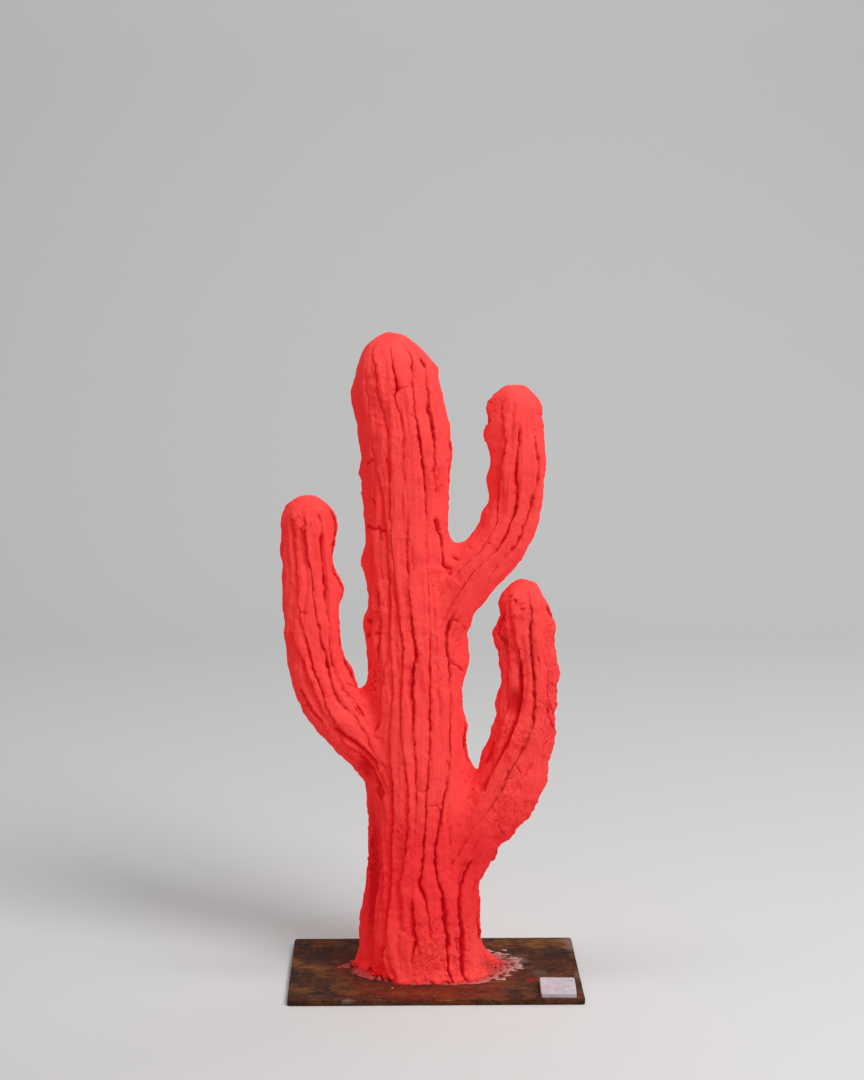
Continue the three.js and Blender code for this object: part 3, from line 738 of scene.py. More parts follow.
# Marks of the hand on the front, as the camera sees them in the 864 by 1080 frame. Cracks and dents are
# strokes: points [across, down], then half width in frame pixels and depth in millimetres. A raised mark has
# a negative depth. They run from the trunk, by the two right arms and the left arm, to the folds under the
# arms and the raised dabs.
STROKES = [
    ([[366, 526], [369, 529.5], [371.5, 528]], 1.7, 2.2),
    ([[373.5, 530], [377, 528.5], [379, 531.5]], 1.3, 2), ([[381, 531], [384.5, 533.5]], 1.5, 1.8),
    ([[377, 527], [379, 534], [380, 540]], 1, 1.6), ([[368, 498], [372, 501], [374, 506]], 1, 1.3),
    ([[397, 386], [398, 390]], 1.6, 2.4), ([[392, 389], [396, 391], [402, 388], [409, 386]], 0.7, 0.8),
    ([[411, 415], [416, 417]], 0.8, 0.9), ([[431, 470], [433, 473], [436, 471]], 0.7, 1),
    ([[434, 475], [433, 484], [434, 490]], 0.7, 0.7), ([[412, 496], [414, 502]], 0.6, 0.6),
    ([[437, 520], [440, 531]], 1.6, 2.4), ([[452, 557], [456, 559]], 1.2, 2),
    ([[452, 617], [454, 620], [458, 622]], 1, 1.6), ([[463, 625], [465, 630]], 0.9, 1.4),
    ([[448.7, 654], [451, 659], [454, 664], [459, 667], [464.5, 671]], 1.3, 2.2),
    ([[358, 703], [361, 709], [365, 714]], 1, 1.4),
    ([[373, 676], [375, 681], [373.5, 686], [376, 692]], 0.9, 1.2),
    ([[376, 632], [378, 634], [380, 632], [380.5, 620]], 0.9, 1.4), ([[377.5, 636], [379, 650]], 0.8, 1),
    ([[376, 590], [379, 594], [378, 600]], 0.8, 1), ([[416, 650], [417, 657], [416, 664]], 1.1, 1.4),
    ([[412, 548], [413, 562], [414.5, 571]], 0.8, 0.9), ([[429.5, 584], [430, 596]], 0.6, 0.7),
    ([[429, 806], [437, 806], [441, 810]], 0.8, 0.9), ([[450.5, 828], [451, 846]], 0.8, 1.1),
    ([[473, 893], [475, 886], [477, 882]], 0.9, 1.4), ([[419, 791], [423, 792], [424, 796]], 0.6, 0.8),
    ([[418.5, 881], [419.5, 887], [422, 892]], 2, 2.6),
    ([[391, 790], [391, 821], [389.5, 850], [390, 880], [388, 910], [385, 940], [382, 966]], 1.1, 1.6),
    ([[364.5, 968], [372, 974], [379, 977]], 1.6, 2), ([[386, 979], [393, 981]], 1.5, 1.8),
    ([[402, 984], [408, 985]], 1.2, 1.4), ([[457.5, 939], [458, 948], [460, 953]], 1.3, 2.2),
    ([[463.5, 940], [464, 952]], 1.2, 1.8), ([[458, 939], [463, 939]], 0.9, 1.2),
    ([[449, 974], [452, 977]], 0.8, 1), ([[500, 399], [503, 402], [504, 398]], 0.8, 1.2),
    ([[487, 400], [491, 402]], 1.2, 1.6), ([[491, 420], [488, 424]], 1, 1.4),
    ([[536, 430], [538, 435], [536, 438]], 0.8, 1), ([[514, 493], [516, 495]], 0.9, 1.2),
    ([[466, 545], [470, 547]], 0.9, 1.2), ([[512, 548], [514, 551]], 0.8, 1),
    ([[303, 526], [300, 530], [303, 534], [306, 530]], 1, 1.6),
    ([[293, 516], [292, 528], [295, 538]], 0.9, 1), ([[346, 682], [352, 686], [358, 687]], 0.8, 1),
    ([[509, 597], [512, 596]], 1.1, 1.8), ([[515, 600], [516, 602]], 1.2, 2.2),
    ([[520, 609], [524, 610]], 0.8, 1), ([[529, 636], [532, 638]], 0.9, 1.4),
    ([[538, 657], [539, 661]], 0.9, 1.2), ([[503, 610], [500, 620], [499, 634], [503, 645]], 1.3, 1.8),
    ([[555, 715], [551, 708], [550, 700]], 1, 1.4), ([[551, 683], [556, 687], [558, 684]], 0.8, 1.2),
    ([[516, 765], [518, 769], [521, 773]], 0.9, 1.3),
    ([[503, 783], [505, 779], [511, 778], [515, 774]], 0.7, 0.8),
    ([[498, 826], [500, 831], [504, 833]], 0.8, 1.2), ([[491, 741], [487, 750], [484, 762]], 1.8, 1.6),
    ([[520, 665], [520, 690], [516, 714]], 3.2, 3.2),
    ([[516, 714], [509, 738], [499, 758], [489, 776], [483, 790]], 2.3, 2.6),
    ([[336, 730], [352, 742], [366, 752], [376, 763]], 2.8, 2.6),
    ([[300, 690], [312, 712], [322, 722]], 1.6, 1.2), ([[362, 762], [373, 778], [381, 794]], 3.4, 2.6),
    ([[374, 790], [378, 800]], 2.2, 1.8), ([[367.5, 619], [369.5, 625]], 1.4, 1.8),
    ([[369, 630], [367.5, 637]], 1.2, 1.5), ([[377, 592], [376, 600], [378, 606]], 1, 1.4),
    ([[379, 640], [377, 648], [378, 660]], 0.9, 1.4), ([[374, 664], [375, 676]], 0.8, 1.2),
    ([[366, 655], [368, 664], [367, 672]], 1.3, 1.5), ([[392, 691], [393, 706]], 0.7, -0.7),
    ([[438, 892], [442, 897], [443, 893]], 2.6, -1.3), ([[423, 893], [427, 898]], 2.2, -1.2),
    ([[500, 832], [506, 834]], 4.5, -2), ([[405, 464], [405, 476]], 4.6, -0.8),
    ([[301, 528], [304, 530]], 2.2, -1.2), ([[374, 345], [378, 362]], 3, -0.9),
    ([[356, 940], [360, 955]], 2.5, -1.5),
]
PINHOLES = [
    [377, 612, 1.2], [380, 622, 0.9], [375, 634, 1], [373, 690, 1], [376, 700, 1.1], [371, 684, 0.9],
    [431, 939, 0.9], [434, 942, 1], [437, 945, 0.8], [428, 957, 0.9], [432, 960, 1.1], [430, 966, 0.9],
    [436, 969, 1], [426, 970, 0.8], [441, 961, 0.8], [422, 947, 0.8], [469, 776, 0.9], [472, 789, 1],
    [477, 783, 0.9], [463, 772, 0.8], [465, 650, 0.8], [457, 640, 1], [454, 655, 0.8], [408, 457, 1.1],
    [448, 461.5, 1.1], [437.5, 490, 1.1], [434, 498, 1], [385.5, 461, 1.2], [370.5, 460, 1.6],
    [367, 462, 1.3], [386, 460, 0.9], [379, 531, 1.4], [383.5, 530, 1.2], [434, 586, 0.9], [415, 634, 1],
    [420, 654, 0.8], [374, 574, 0.8], [385, 576, 0.8], [441, 680, 0.9], [449, 621, 0.8], [448, 762, 1.1],
    [466, 782, 1.1], [467, 798, 0.9], [396, 832, 1], [404, 851, 1.2], [405, 854, 0.9], [489, 543, 1.2],
    [533, 641, 1], [539, 661, 1], [533, 476, 1], [539, 478, 0.8], [529, 501, 0.8], [297, 551, 0.8],
    [298, 586, 0.8], [300, 612, 1], [303, 613, 1.2], [306, 614, 0.8], [330, 636, 0.8], [334, 666, 0.9],
    [305, 705, 1], [318, 703, 0.8], [446, 948, 0.9], [376, 956, 0.8], [415, 963, 1], [416, 968, 1],
]


# Broad soft hollows as the camera sees them: [across, down, half width, half height, millimetres]. Each
# also darkens the paint a little, as painted shade.
HOLLOWS = [
    [367.5, 885, 5.5, 85, 6.5], [363, 938, 5, 26, 2.5], [394, 626, 6, 22, 1.6], [513, 703, 9, 16, 5],
    [489, 752, 5, 15, 3], [362, 770, 10, 18, 4], [379, 354, 4, 9, 1.8], [395, 352, 4, 9, 1.5],
    [398, 845, 6, 40, 1.5], [418, 840, 5, 36, 1.5], [356, 745, 10, 8, 2], [404, 900, 10, 14, 1.2],
    [505, 655, 4, 14, 1.5], [385, 560, 6, 30, 1.2], [370, 560, 4, 24, 1.5], [441, 870, 5, 26, 1.2],
    [366, 480, 4, 34, 1.5], [497, 450, 4, 22, 1.2], [320, 655, 5, 24, 1.2], [430, 900, 8, 10, 1],
    [474, 860, 5, 26, 1.2],
]

# Grey-brown dirt rubbed into the paint: a stroke, its half width in frame pixels and its strength.
GRIME = [
    ([[532, 606], [531, 640], [534, 675], [536, 700]], 2.4, 0.4),
    ([[536, 700], [530, 738], [512, 768], [498, 796], [484, 816]], 2, 0.35),
    ([[503, 638], [504, 650], [507, 656]], 3, 0.5), ([[520, 655], [521, 690], [517, 712]], 2.6, 0.35),
    ([[345, 958], [352, 968], [357, 974]], 5, 0.8), ([[364, 974], [380, 981], [400, 987]], 3.2, 0.9),
    ([[485, 962], [500, 972], [512, 976]], 5, 0.7), ([[510, 690], [516, 705]], 2.6, 0.3),
]

# Chips where the white plaster shows: [across, down, half width] in the frame.
CHIPS = [
    [391.5, 534, 0.9], [392.3, 538, 0.6], [497, 968, 1.2], [367, 969, 1], [352, 961, 1.1],
]


def dent_depth(spots, stroke, half_width):
    """How deep a stroke's dent is at each frame position: 1 on its line, 0 past its half width."""
    nearest = np.full(len(spots), 1e3)
    for start, end in zip(stroke[:-1], stroke[1:]):
        start = np.array(start, float)
        run = np.array(end, float) - start
        part = np.clip((spots - start) @ run / max(run @ run, 1e-9), 0, 1)
        nearest = np.minimum(nearest, np.linalg.norm(spots - start - part[:, None] * run, axis=1))
    return np.exp(-((nearest / half_width) ** 2))


def facing_camera(points, normals, least):
    """Which points face the camera: least is how far towards it a normal has to point, of 2000."""
    return (normals * (CAMERA_AT - points)).sum(axis=1) > least


def near_stroke(spots, seen, stroke, margin):
    """The numbers of the seen points in the box round a stroke, widened by a margin in frame pixels."""
    line = np.array(stroke, float)
    inside = np.all((spots > line.min(axis=0) - margin) & (spots < line.max(axis=0) + margin), axis=1)
    return np.flatnonzero(inside & seen)


def hand_marks(points, normals):
    """The traced cracks, dents, dabs and pinholes: how far they sink, and how much painted shade they put in
    the paint.
    """
    spots = seen_at(points)
    torn = 0.6 * np.column_stack([lattice_noise(points, 2.4, SEED + s) for s in (70, 71)])
    seen = facing_camera(points, normals, 150)
    sunk = np.zeros(len(points))
    dark = np.zeros(len(points))
    for across, down, half_width, half_height, depth in HOLLOWS:
        far = (spots + 0.8 * torn - [across, down]) / [half_width, half_height]
        bowl = seen * depth * np.exp(-(far**2).sum(axis=1))
        sunk += bowl
        # painted shade in the hollows
        dark = np.maximum(dark, 0.22 * bowl)
    marks = STROKES + [([[x, y], [x + 0.4, y + 0.4]], size, 1.3 * size) for x, y, size in PINHOLES]
    for stroke, half_width, depth in marks:
        index = near_stroke(spots, seen, stroke, 3 * half_width + 1)
        dent = dent_depth(spots[index] + torn[index], stroke, half_width)
        sunk[index] += depth * dent
        # painted shade down in the dents and pinholes; raised dabs get none
        dark[index] = np.maximum(dark[index], dent * (depth > 0))
    return sunk, dark


def rubbed(points, normals, strokes, seed):
    """How strongly a set of strokes colours the paint at each point, broken up by noise."""
    spots = seen_at(points)
    seen = facing_camera(points, normals, 100)
    broken = 1 + 0.9 * lattice_noise(points, 4.0, seed) + 0.7 * lattice_noise(points, 1.8, seed + 1)
    total = np.zeros(len(points))
    for stroke, half_width, strength in strokes:
        index = near_stroke(spots, seen, stroke, 3 * half_width)
        here = strength * dent_depth(spots[index], stroke, half_width) * broken[index]
        total[index] = np.maximum(total[index], here)
    return np.clip(total, 0, 1)


# Coarse, pitted places as the camera sees them: [across, down, half width, half height, strength].
ROUGH_PATCHES = [
    [376, 640, 7, 85, 1], [372, 520, 8, 14, 0.8], [350, 762, 24, 26, 1], [326, 738, 14, 20, 0.7],
    [432, 945, 26, 26, 0.9], [462, 620, 12, 20, 0.8], [515, 605, 14, 12, 1], [551, 700, 9, 60, 1],
    [515, 815, 22, 22, 1.1], [495, 400, 8, 18, 0.8], [440, 480, 10, 22, 0.6], [474, 790, 12, 20, 0.6],
    [300, 525, 14, 12, 0.8], [355, 690, 10, 10, 0.6], [368, 975, 14, 10, 0.9], [504, 640, 7, 30, 0.8],
]


def patch_strength(points, patches, ragged, seed):
    """How strongly a set of marks shows at each point: soft ovals whose edges are torn up by noise."""
    spots = seen_at(points)
    torn = ragged * (lattice_noise(points, 9.0, seed) + 0.7 * lattice_noise(points, 3.5, seed + 1))
    total = np.zeros(len(points))
    for *middle, half_width, half_height, strength in patches:
        far = np.hypot(*((spots - middle) / [half_width, half_height]).T) + torn
        total = np.maximum(total, strength * np.clip(1.45 - far, 0, 1))
    return total


PRESS_ROOM = 62.0  # how far from the apex a finger's flat reaches, and over how much of it the flat fades
PRESS_FADE = 14.0
PRESS_SOFT = 0.9  # how rounded the rim of a flat is


def press_flats(points):
    """Flattens the tips where fingers pressed them: what stands out past a plane is pushed back to it."""
    for limb in LIMBS:
        apex = np.array(limb["apex"], float)
        tip = np.flatnonzero(np.linalg.norm(points - apex, axis=1) < PRESS_ROOM)
        for turn, rise, depth in limb["flats"]:
            turn, rise = math.radians(turn), math.radians(rise)
            level = math.cos(rise)
            away = np.array([math.sin(turn) * level, -math.cos(turn) * level, math.sin(rise)])
            offset = points[tip] - apex
            height = offset @ away
            near = np.clip((PRESS_ROOM - np.linalg.norm(offset, axis=1)) / PRESS_FADE, 0, 1)
            past = height - (height[near > 0.5].max() - depth)
            points[tip] -= (near * PRESS_SOFT * np.logaddexp(0, past / PRESS_SOFT))[:, None] * away


def carve(skin):
    """Moves the skin's points along its normals by the grooves, the hand's unevenness and the grain."""
    points = vertex_rows(skin.data, "co") / MM
    normals = vertex_rows(skin.data, "normal")
    count = len(points)
    fields = np.full((len(LIMBS), count), 1e3)
    places = []
    for number, limb in enumerate(LIMBS):
        index = np.flatnonzero(near_limb(limb, points))
        place = limb_coordinates(limb, points[index])
        field = skin_distance(limb, *place)
        places.append((limb, index, place, field))
        fields[number, index] = field
    nearest, second = np.sort(fields, axis=0)[:2]
    apart = np.clip((second - nearest - 3) / 14, 0, 1)  # 0 where two limbs run together
    relief, total, crease, tips, line_depth = np.zeros((5, count))
    line_aside = np.full(count, 9.0)
    ragged = 0.6 * lattice_noise(points, 3.0, SEED + 8) + 0.35 * lattice_noise(points, 1.5, SEED + 9)

    def keep_deepest(index, drawn, aside):
        """Notes the deepest groove at each point, for the painted shade line down its bed."""
        deeper = drawn > line_depth[index]
        line_depth[index[deeper]] = drawn[deeper]
        line_aside[index[deeper]] = aside[deeper]

    for limb, index, (reach, angle, _, radius), field in places:  # the plain grooves and the flutes
        share = np.exp(-np.clip(field - nearest[index], 0, 60) / 3.0)
        end = limb["reach"][-1]
        fade = np.clip((end - 3 - reach) / 24, 0, 1) * apart[index]
        sunk, near, aside, drawn = groove_relief(
            limb["lines"][0], reach, angle, radius, ragged[index], SEED, 1.0
        )
        keep_deepest(index, drawn * fade * share, aside)
        wavy = np.radians(angle) * radius + 2 * wander(reach, 30.0, SEED + 15)
        along = np.stack([wavy / 4.5, reach / 38, 0 * reach], axis=1)
        strip = np.stack([wavy / 1.9, reach / 22, 0 * reach], axis=1)
        flutes = 1.4 * lattice_noise(along, 1.0, SEED + 5) + 0.75 * lattice_noise(strip, 1.0, SEED + 6)
        relief[index] += share * (flutes * np.clip((end - 6 - reach) / 20, 0, 1) - sunk * fade)
        crease[index] += share * near * fade
        total[index] += share
        tips[index] = np.maximum(tips[index], share * np.clip(1 - (end - reach) / 45, 0, 1))
    relief /= total
    crease /= total
    for limb, index, (reach, angle, _, radius), field in places:  # the traced grooves
        seen = np.exp(-np.clip(field - nearest[index] - 2, 0, 60) / 8.0)
        seen *= np.clip((limb["reach"][-1] + 2 - reach) / 10, 0, 1)
        sunk, near, aside, drawn = groove_relief(
            limb["lines"][1], reach, angle, radius, ragged[index], SEED + 300, 0.45
        )
        seen *= 1 + 0.55 * np.clip((170 - points[index, 2]) / 50, 0, 1)  # deeper low on the trunk
        keep_deepest(index, drawn * seen, aside)
        relief[index] -= 1.1 * seen * sunk
        crease[index] = np.maximum(crease[index], seen * near)

    low = np.clip((190 - points[:, 2]) / 60, 0, 1)
    crumbly = np.clip((points[:, 0] - 40) / 10, 0, 1) * np.clip((345 - points[:, 2]) / 20, 0, 1)
    rough = lattice_noise(points, 24.0, SEED + 10) + 0.3 + 0.4 * low + 0.6 * crumbly
    rough = np.clip(rough + 1.2 * patch_strength(points, ROUGH_PATCHES, 0.3, SEED + 86), 0, 1.5)
    for height, size, seed in (
        (0.7 + 0.9 * tips + 0.3 * rough, 13.0, 1),
        (0.35 + 0.35 * crease + 0.5 * rough, 6.0, 2),
        (0.22 + 0.42 * rough + 0.4 * np.minimum(crease, 1), 2.8, 11),
        (0.1 + 0.15 * rough, 1.6, 3),
    ):
        relief += height * lattice_noise(points, size, SEED + seed)
    hem = np.exp(-np.maximum(points[:, 2] - PLATE_TOP, 0) / 4.0)
    torn = 2.8 * lattice_noise(points, 7.0, SEED + 13) + 1.6 * lattice_noise(points, 3.0, SEED + 14)
    relief += hem * (0.5 + torn)
    pits = pit_depth(points, 6.0, 0.3, 1.7, SEED + 12) * np.clip(2 * rough - 0.6 + crease, 0, 1)
    small = 0.8 * pit_depth(points, 3.6, 0.4, 1.2, SEED + 16)
    pits = np.maximum(pits, small * np.clip(2 * rough - 1.4, 0, 1))
    sunk, dark = hand_marks(points, normals)
    relief -= pits + sunk
    moved = points + normals * relief[:, None]
    press_flats(moved)
    moved[:, 2] = np.maximum(moved[:, 2], FOOT_CUT)
    skin.data.vertices.foreach_set("co", (moved * MM).astype(np.float32).ravel())
    skin.data.update()
    chips = [([[x, y], [x + 0.3, y + 0.3]], size, 1.3) for x, y, size in CHIPS]
    for name, values in {
        # crease: painted shade in the grooves, hollows, dents and pits
        "crease": np.clip(np.maximum(crease, np.maximum(1.6 * dark, pits)), 0, 1.6),
        "rough": rough,
        "line_aside": np.clip(line_aside, -9, 9),
        "line_depth": np.clip(line_depth, 0, 2),
        "grime": rubbed(points, normals, GRIME, SEED + 74),
        "bare": rubbed(points, normals, chips, SEED + 76),
    }.items():
        add_attribute(skin.data, name, values)


def painted_plaster():
    """Daylight-fluorescent red paint, brushed matt over hand-worked plaster.

    Fluorescent pigment gives back more red than falls on it. Here part of the red is a painted glow, added
    by emission whatever light falls, so the shaded side still glows; less of it is added down in the creases
    and groove beds, as painted shade. Painted shade also darkens the creases, groove beds, pores, craters
    and lower trunk.
    """
    material, add, where = new_material("fluorescent_red_paint_on_plaster")
    crease, grime, bare, aside, depth, rough = (
        add("Attribute", attribute_name=name, output="Fac")
        for name in ("crease", "grime", "bare", "line_aside", "line_depth", "rough")
    )
    grain = add("TexNoise", where, 1 / 0.0018, 4, 0.7)  # brush drag and plaster dust
    height = add("SeparateXYZ", where, output="Z")
    # painted shade: the paint is duller and darker low on the trunk, about 30 to 170 mm up
    low = add("Math", add("MapRange", height, 0.17, 0.12), add("MapRange", height, 0.03, 0.07))
    off = add("Math", aside, operation="ABSOLUTE")
    # painted shade: a thin dark line down the bed of the deepest groove
    bed = add("Math", add("MapRange", off, 0.75, 0.15), add("MapRange", depth, 0.3, 1.5))
    deep = add("MapRange", crease, 0.3, 1.6)
    # painted shade in pores and craters, which the bump sinks
    pore = add("MapRange", add("TexNoise", where, 1 / 0.0011, 2, 0.5), 0.36, 0.26)
    crater = add("MapRange", add("TexNoise", where, 1 / 0.0017, 2, 0.5), 0.43, 0.35)
    crater = add("Math", crater, add("MapRange", rough, 0.9, 1.5))
    hole = add("Math", add("Math", pore, 0.7), add("Math", crater, 0.8), operation="MAXIMUM")
    blotch = add("MapRange", add("TexNoise", where, 1 / 0.022, 4, 0.6), 0.35, 0.65)
    red = add("Mix", blotch, linear("#c84845"), linear("#cf504b"))
    for share, colour in (
        (add("Math", add("MapRange", grain, 0.52, 0.72), 0.5), "#d65a52"),  # chalky tops of the grain
        (add("Math", low, 0.75), "#ba3236"),  # painted shade on the lower trunk: darker paint low down
        (deep, "#b8161f"),  # shade gathered in the creases
        (add("Math", bed, 0.85), "#8c0f19"),  # painted shade: the thin dark line down a groove's bed
        (hole, "#a81c20"),  # painted shade in pores and craters
        (add("Math", grime, 0.7), "#7c3a32"),  # dirt
        (bare, "#f7ece6"),  # chips down to the plaster
    ):
        red = add("Mix", share, red, linear(colour))
    # painted glow: red emission whatever light falls; less of it in the creases and groove beds, as painted
    # shade, and under dirt and chips
    deep = add("Math", deep, bed, operation="MAXIMUM")
    painted_glow = add("MapRange", deep, 0.0, 1.0, 0.445, 0.3, interpolation_type="LINEAR")
    painted_glow = add("Math", painted_glow, add("Math", bed, 0.07), operation="SUBTRACT")
    covered = add("Math", add("Math", grime, 0.4), bare, operation="MAXIMUM")
    painted_glow = add("Math", painted_glow, add("Math", 1.0, covered, operation="SUBTRACT"))
    relief = add("Math", grain, add("Math", hole, 0.8), operation="SUBTRACT")
    relief = add("Math", relief, add("Math", bed, 0.35), operation="SUBTRACT")
    shader = add(
        "BsdfPrincipled",
        Base_Color=red,
        Emission_Color=(1.0, 0.004, 0.01, 1.0),
        Emission_Strength=painted_glow,
        Roughness=0.9,
        Specular_IOR_Level=0.18,
        Normal=add("Bump", Strength=1.0, Distance=0.0018, Height=relief),
    )
    add("OutputMaterial", shader)
    return material


for limb in LIMBS:
    lay_out(limb)
    limb["lines"] = limb_lines(limb)

saguaro = smooth_skin()
carve(saguaro)
lighter = saguaro.modifiers.new("lighter", "DECIMATE")
lighter.ratio = BODY_TRIANGLES / (2 * len(saguaro.data.polygons))
settle(saguaro)
saguaro.data.materials.append(painted_plaster())
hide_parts("cactus_body")
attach(saguaro, "root")


# ---------------------------------------------------------------------------------------------------
# The plate, the crust round the foot and the tile
# ---------------------------------------------------------------------------------------------------

PLATE_SIZE = (250.0, 165.0)
PLATE_CORNER = 3.0


def slab(width, depth, high, corner, edge, step, seed, wobble):
    """A flat slab from z = 0 up to high, with rounded corners and rounded edges, as points and quads.

    Its top and bottom are one grid, close-set near the rim, and a strip of quads joins their rims. Within
    edge of the rim the faces curve down as a quarter circle. Square corner cells are drawn in to a quarter
    disc of the corner's radius. wobble is how far the rim and the top wander, in millimetres.
    """
    inset = np.array([0, 0.07, 0.25, 0.55, 1.0, 1.8]) * edge
    spans = []
    for length in (width, depth):
        middle = np.linspace(-length / 2 + 3 * edge, length / 2 - 3 * edge, max(int(length / step), 8))
        spans.append(np.concatenate([inset - length / 2, middle, length / 2 - inset[::-1]]))
    x, y = (part.ravel() for part in np.meshgrid(*spans, indexing="ij"))
    rim = np.minimum(width / 2 - np.abs(x), depth / 2 - np.abs(y))
    past = np.stack([np.abs(x) - width / 2 + corner, np.abs(y) - depth / 2 + corner], axis=1)
    in_corner = (past > 0).all(axis=1)
    pull = np.ones(len(x))
    pull[in_corner] = past[in_corner].max(axis=1) / np.hypot(*past[in_corner].T)
    signs = np.stack([np.sign(x), np.sign(y)], axis=1)
    flat = np.stack([x, y], axis=1)
    turned = signs * (np.array([width, depth]) / 2 - corner + past * pull[:, None])
    flat = np.where(in_corner[:, None], turned, flat)
    spots = np.column_stack([flat, 0 * x])
    outward = flat / np.linalg.norm(flat, axis=1, keepdims=True)
    rough = 0.6 * lattice_noise(spots, 22.0, seed) + 0.4 * lattice_noise(spots, 6.0, seed + 1)
    flat = flat + outward * (wobble * rough * np.exp(-rim / 3.0))[:, None]
    drop = edge - np.sqrt(np.maximum(edge**2 - np.maximum(edge - rim, 0) ** 2, 0))
    uneven = lattice_noise(spots, 30.0, seed + 2) + 0.6 * lattice_noise(spots, 5.0, seed + 3)
    uneven = wobble * 0.5 * uneven
    top = np.column_stack([flat, high - drop + uneven * np.minimum(rim / 2, 1)])
    bottom = np.column_stack([flat, drop])
    nx, ny = len(spans[0]), len(spans[1])
    number = np.arange(nx * ny).reshape(nx, ny)
    cells = np.stack([number[:-1, :-1], number[1:, :-1], number[1:, 1:], number[:-1, 1:]], axis=-1)
    cells = cells.reshape(-1, 4)
    loop = np.concatenate([number[:-1, 0], number[-1, :-1], number[:0:-1, -1], number[0, :0:-1]])
    after = np.roll(loop, -1)
    count = nx * ny
    wall = np.stack([loop + count, after + count, after, loop], axis=1)
    return np.vstack([top, bottom]), np.vstack([cells, cells[:, ::-1] + count, wall])


def on_plate(spots):
    """Where the camera's sight lines through places in the frame meet the top of the plate."""
    lines = sight_lines(spots)
    return CAMERA_AT + lines * ((PLATE_TOP - CAMERA_AT[2]) / lines[:, 2:3])


# Marks on the plate as the camera sees them: [across, down, half width, half height, strength].
DARK_PATCHES = [
    [301, 944, 9, 4, 1], [333, 949, 11, 4, 0.9], [296, 974, 8, 6, 0.9], [326, 994, 10, 4, 0.7],
    [314, 957, 14, 4, 0.4], [560, 954, 8, 6, 0.9], [514, 992, 8, 3, 0.6], [344, 942, 8, 3, 0.5],
    [372, 978, 14, 3, 0.9], [390, 984, 16, 2.5, 0.8], [421, 988, 12, 2, 0.7], [573, 975, 5, 8, 0.5],
    [524, 964, 6, 3, 0.5],
]
OCHRE_PATCHES = [
    [500, 944, 14, 3, 0.7], [540, 942, 22, 4, 1], [560, 945, 10, 4, 0.8], [300, 962, 7, 5, 0.9],
    [420, 993, 22, 3, 0.7], [306, 990, 16, 3, 0.6], [350, 992, 14, 3, 0.5], [318, 968, 9, 4, 0.5],
    [478, 996, 20, 3, 0.4],
]
WORN_PATCHES = [
    [572, 944, 6, 6, 0.9], [518, 961, 10, 5, 0.7], [540, 973, 6, 3, 0.3], [346, 1001, 6, 2, 0.8],
    [566, 940, 9, 2.5, 0.8], [577, 975, 3, 4, 0.5],
]
RED_PATCHES = [
    [430, 992, 60, 9, 0.9], [470, 990, 30, 8, 0.8], [341, 966, 5, 6, 1], [348, 964, 12, 8, 0.6],
    [531, 979.5, 5, 1.6, 1.5], [505, 975, 16, 8, 0.6], [380, 985, 30, 6, 0.6],
]


def foot_gap(points):
    """How far each point of the plate's top lies outside the foot."""
    level = np.array(points, float)
    level[:, 2] = PLATE_TOP + 1
    return limb_field(TRUNK, level)


def steel_plate():
    points, quads = slab(*PLATE_SIZE, PLATE_TOP, PLATE_CORNER, 0.7, 1.6, SEED + 40, 0.28)
    plate = add_mesh("rusty_plate", points, quads)
    gap = foot_gap(points)
    painted_foot_shade = np.exp(-(((gap - 5) / 6.0) ** 2)) * 0.9 * (points[:, 1] < -20)  # painted shade: a dark ring in front of the foot
    dark = np.maximum(painted_foot_shade, patch_strength(points, DARK_PATCHES, 0.55, SEED + 50))
    spray = np.exp(-np.maximum(gap, 0) / 9.0) * 0.8 * (points[:, 2] > 3)
    spray = np.maximum(spray, patch_strength(points, RED_PATCHES, 0.6, SEED + 56))
    add_attribute(plate.data, "dark", dark)
    add_attribute(plate.data, "ochre", patch_strength(points, OCHRE_PATCHES, 0.6, SEED + 52))
    add_attribute(plate.data, "worn", patch_strength(points, WORN_PATCHES, 0.5, SEED + 54))
    add_attribute(plate.data, "spray", spray)
    return plate


